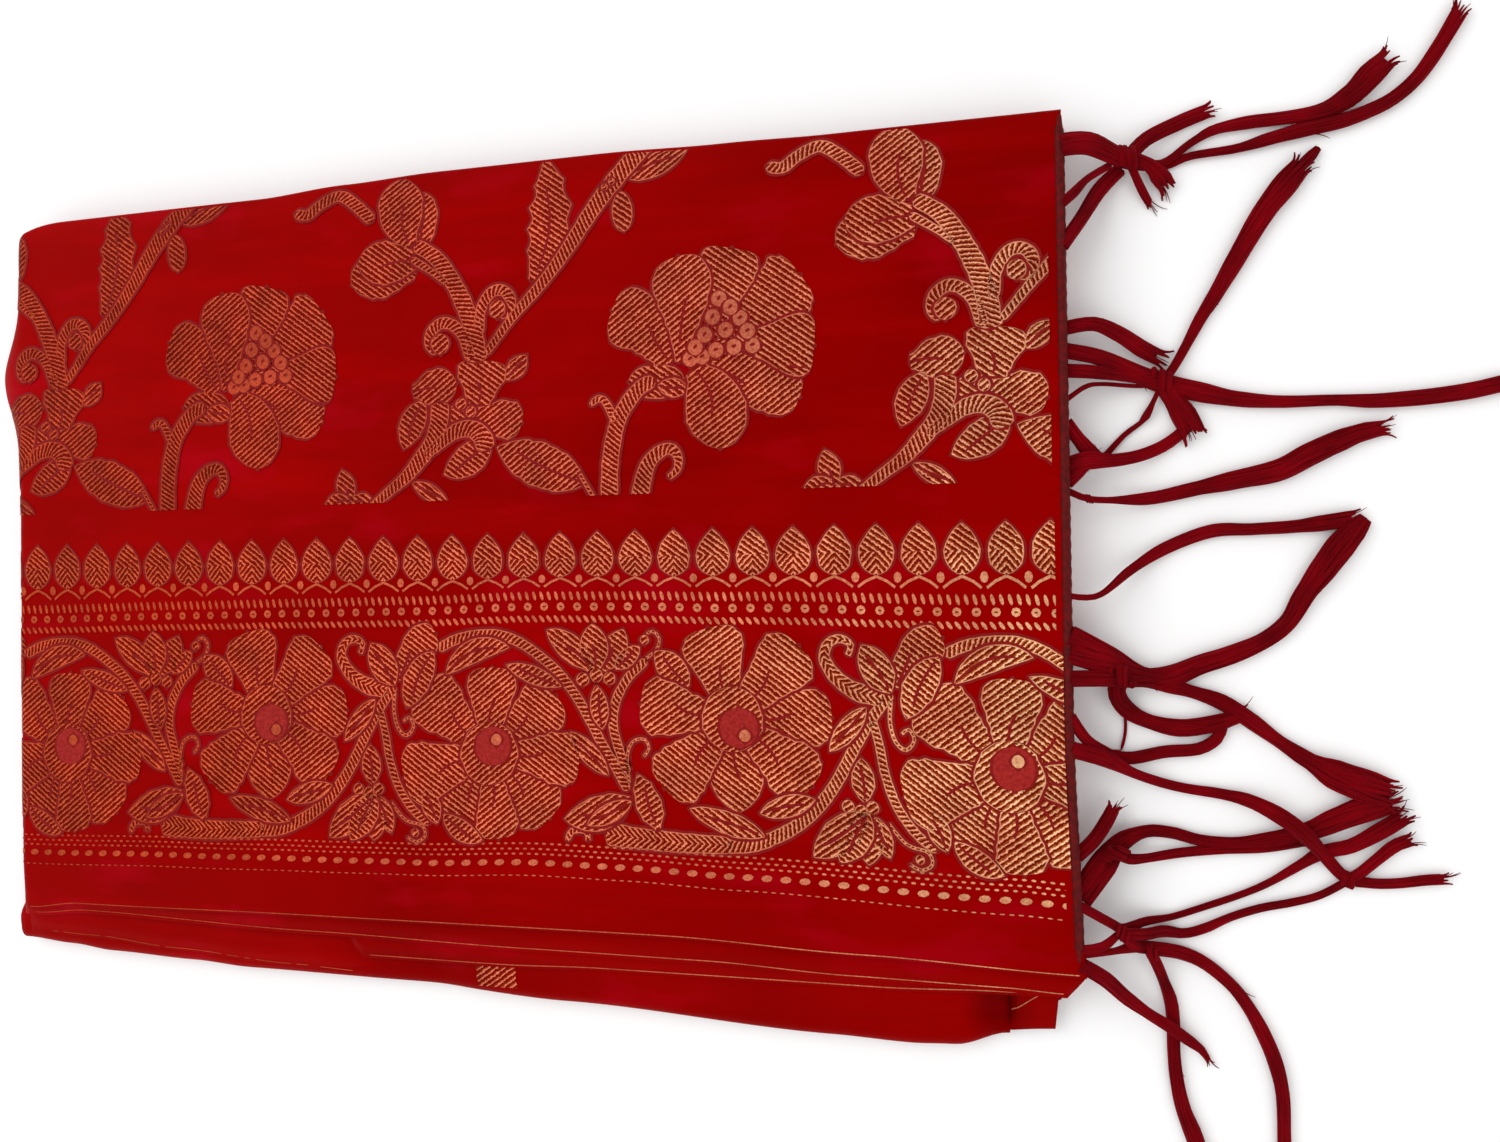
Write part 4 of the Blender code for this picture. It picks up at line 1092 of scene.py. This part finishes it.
borderVines = (   # widths at both ends, then the points
    (3, 2.8, ((-15.5, -25.8), (-10, -23.4), (-3, -22.3), (3, -22.6), (9, -24.5), (15, -28.2), (21, -33),
        (26, -39), (30, -45.5), (33.5, -52), (37.5, -58.5), (41, -65))), (2.6, 2.8, ((47, -29.5), (42, -34),
        (38.8, -39), (37.4, -43.5), (37.2, -48), (38.6, -53.5), (41, -60.5))), (0.9, 0.8, ((47, -29),
        (50, -26.5), (50.8, -23.5), (49, -21.6), (47.2, -22.4))), (1, 0.8, ((41.4, -63), (41, -57),
        (41.8, -53), (43.6, -51.2), (46.2, -51), (47.4, -53.4), (45.8, -55.6))), (6.4, 4.6, ((34.5, -77),
        (42, -77.8), (52, -78.2), (62, -78), (70, -77.8))), (3.8, 2.8, ((68, -78.2), (75.5, -77.6),
        (82, -75), (87, -72.2), (91.5, -68.6), (96, -63.6), (100, -57.6), (103.5, -51), (108, -43.4),
        (113.5, -36))), (2.4, 2.6, ((108.6, -43), (110.3, -49.5), (111.6, -56.8), (114.4, -64.8),
        (119, -71.2), (124, -75))), (5.6, 1.5, ((111.4, -37), (105, -36.2), (99.4, -32.8), (96.2, -27.8),
        (97.4, -23.8), (100.6, -22.6), (103.2, -24.2), (102.4, -26.8))), (1.2, 0.9, ((113.4, -38),
        (113.2, -43.6), (114.6, -48.4), (117.2, -50.2), (119.4, -47.6), (118, -45), (116.2, -46.2))),
    (0.9, 0.9, ((112, -69.2), (115.4, -73.2), (117.8, -74.6), (121.8, -75.6), (122.6, -78.6),
        (119.8, -80.2), (117, -79))), (2, 1.6, ((23, -79.6), (24.6, -76.8), (28.6, -76.8), (29.2, -79.2))),
)
borderBeads = (
    (28.5, -35, 1.9), (32.5, -33.8, 1.9), (36.3, -34.6, 1.8), (46.6, -24, 1.3), (101.6, -65.6, 1.7),
    (104.9, -66.6, 1.7), (108, -65.4, 1.7), (119.6, -77.6, 1.2),
)

# One repeat of the field: the large flower on its stem, the leafy branch and the small blossom
fieldFlower = (   # base, tip, width, form, hatch, bend, layer
    ((54.5, 51), (38.2, 66.2), 17.5, "petal", 1, 2.2, 0), ((57, 51),
        (57.4, 79.4), 17.2, "paddle", 1, 1.4, 2), ((67, 57), (72.6, 80.4), 17.6, "fan", -1, 0, 1),
    ((71, 57.5), (91.2, 71.8), 18.6, "fan", -1, 0, 0), ((73, 55.5), (94.6, 53), 17, "fan", -1, 0, 1),
    ((62, 50.2), (90.4, 39.8), 14.4, "petal", 1, 0, 0), ((61.4, 49), (68.8, 27), 17, "egg", 1, -2, 2),
    ((70, 47), (76, 60), 15, "round", 1, 0, 0), ((42.6, 46.4), (58.6, 45.6), 9.8, "round", -1, 0, 0),
    ((51, 44.8), (59.8, 43.4), 5.4, "leaf", -1, 0, 1),
)
fieldPetals = (   # base, tip, width, form, hatch, bend
    ((30, 19), (3.5, 30), 12.5, "leaf", 1, 0), ((119.8, 89), (117.6, 108.6), 14, "egg", 1, -1.6),
    ((122.6, 87.4), (122.8, 104), 9.6, "egg", 1, 1.2), ((122.4, 84.6),
        (103.4, 85.6), 12.6, "egg", -1, -0.6), ((121.6, 81.6), (101, 79), 14, "egg", -1, 1.4),
    ((140.5, 42.5), (142, 55), 16, "petal", -1, 0), ((119.8, 47.2), (133.6, 48.8), 10.4, "egg", 1, 0),
    ((149, 49), (155.5, 55.5), 5.5, "leaf", 1, 0), ((140, 40), (154, 36.5), 12.5, "lobe", 1, 0),
    ((130, 34.5), (138.5, 43), 8.5, "lobe", -1, 0), ((123.6, 44.4), (117.2, 30.8), 8, "leaf", -1, 0.6),
    ((120, 21), (131, 15), 4.5, "leaf", -1, 0), ((99.5, 15.7), (97, 25.5), 6, "point", -1, 0), ((99, 16.8),
        (91.5, 15.8), 5, "point", -1, 0), ((100, 16.8), (107.5, 15.4), 5, "point", -1, 0), ((144.6, 32.2),
        (130, 23), 9, "leaf", -1, -0.8), ((14.6, 76), (18, 110.5), 13.2, "frond", -1, 3.8), ((41, 98.5),
        (42, 87.5), 6, "round", -1, 0), ((42, 102.5), (60, 109), 8, "leaf", 1, 0),
)
fieldVines = (
    (4, 5.2, ((50, 46.4), (46, 44.6), (42.4, 40.6), (39.6, 35.6), (38, 29), (37.2, 22.4), (37, 14))),
    (2, 2.4, ((31.5, 40.4), (33, 41.8), (35, 42), (37, 39.4), (39, 35))), (5.6, 1.6, ((45.6, 14), (48, 23),
        (52, 27), (55.4, 27.2), (57, 24.5), (56.4, 21.6), (54.2, 19.8))), (1.4, 1.2, ((33, 14),
        (28.4, 21.6))), (3.2, 3.6, ((82.4, 101.4), (86.6, 100.6), (91, 103.4), (96.8, 105.4), (102, 102.4),
        (108, 97))), (4, 6.2, ((121.6, 89), (128.4, 84.4), (133.4, 77.4), (137, 70.2), (139.4, 63),
        (140.4, 54.6))), (2.4, 1.8, ((120.4, 85), (124.2, 82.6), (128, 80), (131.6, 77))),
    (3.2, 3.4, ((141.2, 62), (141.8, 68.6), (144.8, 73.4), (148.8, 74), (151.2, 71), (149.8, 67.8),
        (147, 67.8))), (3.4, 3.2, ((138.4, 55), (136.4, 61.6), (133.2, 65.2), (129.4, 66), (126.2, 63.6),
        (125.8, 60), (128, 58))), (6.2, 2.2, ((128.6, 43.4), (128.4, 38), (126.4, 32.4), (122, 27),
        (117.8, 22.6), (112.8, 19), (106, 14))), (2.6, 6.4, ((124, 28.4), (129, 32), (133.6, 35),
        (138.2, 35.6), (141.8, 33.4), (143.2, 29.4))), (2, 6, ((0, 56.5), (8.5, 66.2), (17.5, 75),
        (25.2, 84), (33, 94.4), (42, 105), (50, 114))),
)
seedRows = ((3.4, 1), (6.6, 2), (10.8, 2), (15.8, 3), (20.8, 5))   # distance from the flower's foot, count
seedFoot, seedSpread, seedTowards, seedRadius = (57.6, 49.6), 56.0, 35.0, 2.1
fieldDiscs = (
    (147, 68.8, 2.6), (129, 60.2, 2.9), (135.2, 42.8, 1.7), (138.4, 40.4, 1.7), (36.4, 100.2, 1),
    (38.4, 101.6, 1),
)
fieldFront = 15.6

# The narrow rows, as y positions and their pitch along the border
rowTable = {
    "lotus": (-6.7, 5.6, 9.3, 13), "roof": (-7.0, -9.4, 0.62), "between": (-7.2, 2.1),
    "ropes": ((-12.0, 2.7, 0.30, 65), (-18.4, 2.5, 0.66, 65)), "ropeWidth": 1.0,
    "dots": (-15.0, 2.4, 29), "fine": ((-80.8, -82.3, -83.7), 1.25, 0.6, 62), "ovals": (-86.1, 3.1, 1.8, 28),
    "dashes": (-89.7, 1.35, 0.36, 61), "ovalTurn": 0.15,
}
drift = ((-159, -2.2), (-100, -1.4), (-60, -1.0), (-25, -0.7), (15, 0.3), (40, 0.1), (72, -0.6), (143, -2.3),
         (159, -2.8))


def drifted(x, y):
    weight = smooth(-y / 14.0) * (1.0 + 0.5 * smooth((-15.0 - y) / 70.0))
    return y + along(drift, x) * weight


def layZari(name, repeat, right, place):
    # the repeat is woven on along the cloth, trimmed at its edges and laid on the ply
    flat = bpy.data.meshes.new("repeat")
    repeat.to_mesh(flat)
    repeat.free()
    bm = bmesh.new()
    for copy in zari["copies"]:
        known = set(bm.verts)
        bm.from_mesh(flat)
        fresh = [v for v in bm.verts if v not in known]
        bmesh.ops.translate(bm, vec=(copy * zari["repeat"], 0.0, 0.0), verts=fresh)
    bpy.data.meshes.remove(flat)
    cuts = [((right, 0, 0), (1, 0, 0), True), ((zari["left"], 0, 0), (-1, 0, 0), True),
            ((0, zari["back"], 0), (0, 1, 0), True)]
    steps = int((zari["foldFrom"] - zari["left"]) / zari["foldStep"])
    cuts += [((zari["foldFrom"] - k * zari["foldStep"], 0, 0), (1, 0, 0), False) for k in range(steps)]
    for spot, way, trimmed in cuts:
        geom = list(bm.verts) + list(bm.edges) + list(bm.faces)
        if not trimmed:
            near = [f for f in bm.faces
                    if min(v.co.x for v in f.verts) < spot[0] < max(v.co.x for v in f.verts)]
            geom = near + list({e for f in near for e in f.edges}) + list({v for f in near for v in f.verts})
        bmesh.ops.bisect_plane(bm, geom=geom, plane_co=spot, plane_no=way, clear_outer=trimmed)
    limit = {v: backLine(v.co.x) - zari["backRoom"] for v in bm.verts}
    past = [f for f in bm.faces if all(v.co.y > limit[v] for v in f.verts)]
    bmesh.ops.delete(bm, geom=past, context="FACES")
    for v in bm.verts:
        v.co = place(v.co.x, min(v.co.y, limit[v]), v.co.z)
    return addPiece(name, bm, zariMaterials)


def makeZariField():
    bm = wovenMesh()
    for n, (base, tip, width, form, hatch, bend) in enumerate(fieldPetals):
        petal(bm, base, tip, width, form, hatch, n % 2, bend)
    for startWidth, endWidth, points in fieldVines:
        vine(bm, points, startWidth, endWidth, 2)
    for base, tip, width, form, hatch, bend, layer in fieldFlower:
        petal(bm, base, tip, width, form, hatch, layer, bend)
    for away, count in seedRows:
        for n in range(count):
            turn = math.radians(seedTowards + seedSpread * ((n + 0.5) / count - 0.5))
            x, y = seedFoot[0] + away * math.cos(turn), seedFoot[1] + away * math.sin(turn)
            disc(bm, x, y, seedRadius, 3 + n % 2, edged)
            dot(bm, x, y + 0.2, 1.5, 0.8, bound, 5, turn)
    for x, y, radius in fieldDiscs:
        disc(bm, x, y, radius, 3)
    geom = list(bm.verts) + list(bm.edges) + list(bm.faces)
    bmesh.ops.bisect_plane(bm, geom=geom, plane_co=(0, fieldFront, 0), plane_no=(0, -1, 0), clear_outer=True)
    return layZari("zari_field", bm, 154.8, drape)


def makeZariBorder():
    bm = wovenMesh()
    for startWidth, endWidth, points in borderVines:
        vine(bm, points, startWidth, endWidth, 0, "chevron" if startWidth > 5 else "vine")
    for n, (base, tip, width, form, hatch, bend) in enumerate(borderLeaves):
        petal(bm, base, tip, width, form, hatch, 1 + n % 2, bend)
    for x, y, radius in borderBeads:
        disc(bm, x, y, radius, 2)
    flower(bm, *highFlower)
    flower(bm, *lowFlower)
    return layZari("zari_border", bm, 156.8, lambda u, y, lift: drape(u, drifted(u, y), lift))


def dotRow(bm, count, middle, wide, tall, turn=0.0, shift=0.5):
    for n in range(count):
        dot(bm, (n + shift) * zari["repeat"] / count, middle, wide, tall, edged, 0, turn)


def makeZariRows():
    bm = wovenMesh()
    length = zari["repeat"]
    low, high, width, count = rowTable["lotus"]
    step = length / count
    for n in range(count):
        x = n * step + 0.2
        petal(bm, (x, low), (x, high), width, "bud", "lotus")
        dot(bm, x + step / 2, rowTable["between"][0], rowTable["between"][1], rowTable["between"][1] * 1.15)
        top, bottom, wide = rowTable["roof"]
        for way in (-1, 1):
            ends = [Vector((x, top)), Vector((x + way * step * 0.25, (top + bottom) / 2 + 0.15)),
                    Vector((x + way * step * 0.44, bottom))]
            ribbon(bm, ends, [wide / 2] * 3, zari["above"] + zari["layer"] * 3, edged)
    for middle, tall, slant, count in rowTable["ropes"]:
        dotRow(bm, count, middle, rowTable["ropeWidth"], tall, slant)
    middle, wide, count = rowTable["dots"]
    for n in range(count):
        dot(bm, (n + 0.5) * length / count, middle, wide, wide)
        dot(bm, (n + 0.5) * length / count, middle, wide * 0.42, wide * 0.2, bound, 1)
    levels, wide, tall, count = rowTable["fine"]
    for k, middle in enumerate(levels):
        dotRow(bm, count, middle, wide, tall, 0.0, 0.5 * (k % 2))
    middle, wide, tall, count = rowTable["ovals"]
    dotRow(bm, count, middle, wide, tall, rowTable["ovalTurn"])
    middle, wide, tall, count = rowTable["dashes"]
    dotRow(bm, count, middle, wide, tall)
    return layZari("zari_rows", bm, 155.2, lambda u, y, lift: drape(u, drifted(u, y), lift))


# Gold lines woven along the selvedges: ply, how far in from its edge, from x, to x, width, dotted share
selvedgeLines = (
    ("face", 0, 0.8, -159.0, 156.6, 0.22, 0.0), ("first", 1, 1.1, -159.0, 156.6, 0.24, 0.0),
    ("second", 2, 0.9, -42.0, 157.4, 0.24, 0.0), ("third", 3, 0.9, -156.0, -38.0, 0.22, 0.2),
)
# The line on the turned corner, in shares of that piece's own width and depth
cornerLine = {"columns": 12, "from": 0.3, "run": 0.5, "front": 0.186, "rise": 0.446, "width": 0.012}


def makeSelvedgeLines():
    bm = bmesh.new()
    uv = bm.loops.layers.uv.new("weave")
    for edge, ply, inward, fromX, toX, width, gap in selvedgeLines:
        count = round((toX - fromX) / 2.0)
        for v, i, j in lattice(bm, count, 1):
            x = fromX + (toX - fromX) * i / count
            y = along(frontEdges[edge], x) + inward + (j - 0.5) * width
            if edge == "face":
                v.co = drape(x, y, zari["above"])
            else:
                v.co = (x + leanOut(x, y), y, stripTop(edge, ply * packet["step"], x, y) + zari["above"])
        if gap:
            missed = [f for f in bm.faces[-count:] if chance.random() < gap]
            bmesh.ops.delete(bm, geom=missed, context="FACES")
    line = cornerLine
    for v, i, j in lattice(bm, line["columns"], 1):
        u = line["from"] + line["run"] * i / line["columns"]
        w = line["front"] + line["rise"] * (u - line["from"]) + line["width"] * j
        v.co = cornerPlace(u, w) + Vector((0, 0, zari["above"]))
    for face in bm.faces:
        for loop in face.loops:
            loop[uv].uv = (0.35, 0.0)
    return addPiece("zari_selvedge_lines", bm, [goldEdge])


buti = {"left": -8.4, "right": 3.6, "front": -123.4, "back": -116.4, "step": 1.1}


def makeButi():
    # the corner of a woven spot on the ply below
    bm = bmesh.new()
    uv = bm.loops.layers.uv.new("weave")
    columns = round((buti["right"] - buti["left"]) / buti["step"])
    across = round((buti["back"] - buti["front"]) / buti["step"])
    for v, i, j in lattice(bm, columns, across):
        x = buti["left"] + i * buti["step"] + 0.3 * math.sin(j * 2.1) * (i in (0, columns))
        y = buti["front"] + j * buti["step"]
        v.co = (x, y, centreTop(x, y) + zari["above"])
    for face in bm.faces:
        for loop in face.loops:
            loop[uv].uv = (phaseOf(1, loop.vert.co.x, loop.vert.co.y, 0.0, 0.0), 0.0)
    return addPiece("zari_buti", bm, [goldHatch])


zariField = makeZariField()
zariBorder = makeZariBorder()
zariRows = makeZariRows()
zariLines = makeSelvedgeLines()
zariButi = makeButi()
print("zari woven")


# Floor, light and camera
stageLook = {
    "floor": colour(254, 254, 254),
    "world": (1.0, 1.0, 1.0, 1.0),
    "worldStrength": 0.78,
    "lights": (   # name, place, aimed at, size, watts
        ("key", (-0.8, 0.5, 1.3), (0.0, 0.0, 0.0), 1.3, 7.5),
        ("fill", (0.7, -0.6, 1.2), (0.0, 0.0, 0.0), 1.2, 4.0),
    ),
    "camera": (167.35, -9.95, 346.50),     # millimetres
    "tilt": (0.26709, 0.01194, -0.01396),  # towards -X, towards +Y, and roll
    "lens": 31.2,
}


def aim(place, target):
    return (Vector(target) - Vector(place)).to_track_quat("-Z", "Y").to_matrix().to_4x4()


def makeStage():
    look = stageLook
    scene = bpy.context.scene
    scene.view_settings.view_transform = "Standard"
    world = bpy.data.worlds.new("studio")
    scene.world = world
    world.use_nodes = True
    world.node_tree.nodes["Background"].inputs[0].default_value = look["world"]
    world.node_tree.nodes["Background"].inputs[1].default_value = look["worldStrength"]
    bm = bmesh.new()
    bmesh.ops.create_grid(bm, x_segments=1, y_segments=1, size=4.0)
    mesh = bpy.data.meshes.new("floor")
    bm.to_mesh(mesh)
    bm.free()
    floor = bpy.data.objects.new("floor", mesh)
    floor.location.z = -0.0002
    scene.collection.objects.link(floor)
    material, tree, shader = newMaterial("paleFloor")
    shader.inputs["Base Color"].default_value = look["floor"]
    shader.inputs["Roughness"].default_value = 0.9
    shader.inputs["Specular IOR Level"].default_value = 0.1
    mesh.materials.append(material)
    for name, place, target, size, watts in look["lights"]:
        light = bpy.data.lights.new(name, "AREA")
        light.size = size
        light.energy = watts
        lamp = bpy.data.objects.new(name, light)
        lamp.matrix_world = Matrix.Translation(place) @ aim(place, target)
        scene.collection.objects.link(lamp)
    back, up, roll = look["tilt"]
    ahead = Vector((-math.sin(back), 0.0, -math.cos(back)))
    right = Vector((math.cos(back), 0.0, -math.sin(back)))
    top = Vector((0.0, 1.0, 0.0))
    ahead, top = ahead * math.cos(up) + top * math.sin(up), top * math.cos(up) - ahead * math.sin(up)
    right, top = right * math.cos(roll) + top * math.sin(roll), top * math.cos(roll) - right * math.sin(roll)
    turned = Matrix((right, top, -ahead)).transposed().to_4x4()
    lens = bpy.data.cameras.new("camera")
    lens.lens = look["lens"]
    lens.sensor_width = 36.0
    lens.clip_start = 0.01
    camera = bpy.data.objects.new("camera", lens)
    camera.matrix_world = Matrix.Translation(Vector(look["camera"]) * mm) @ turned
    scene.collection.objects.link(camera)
    scene.camera = camera


makeStage()
print("stage set")
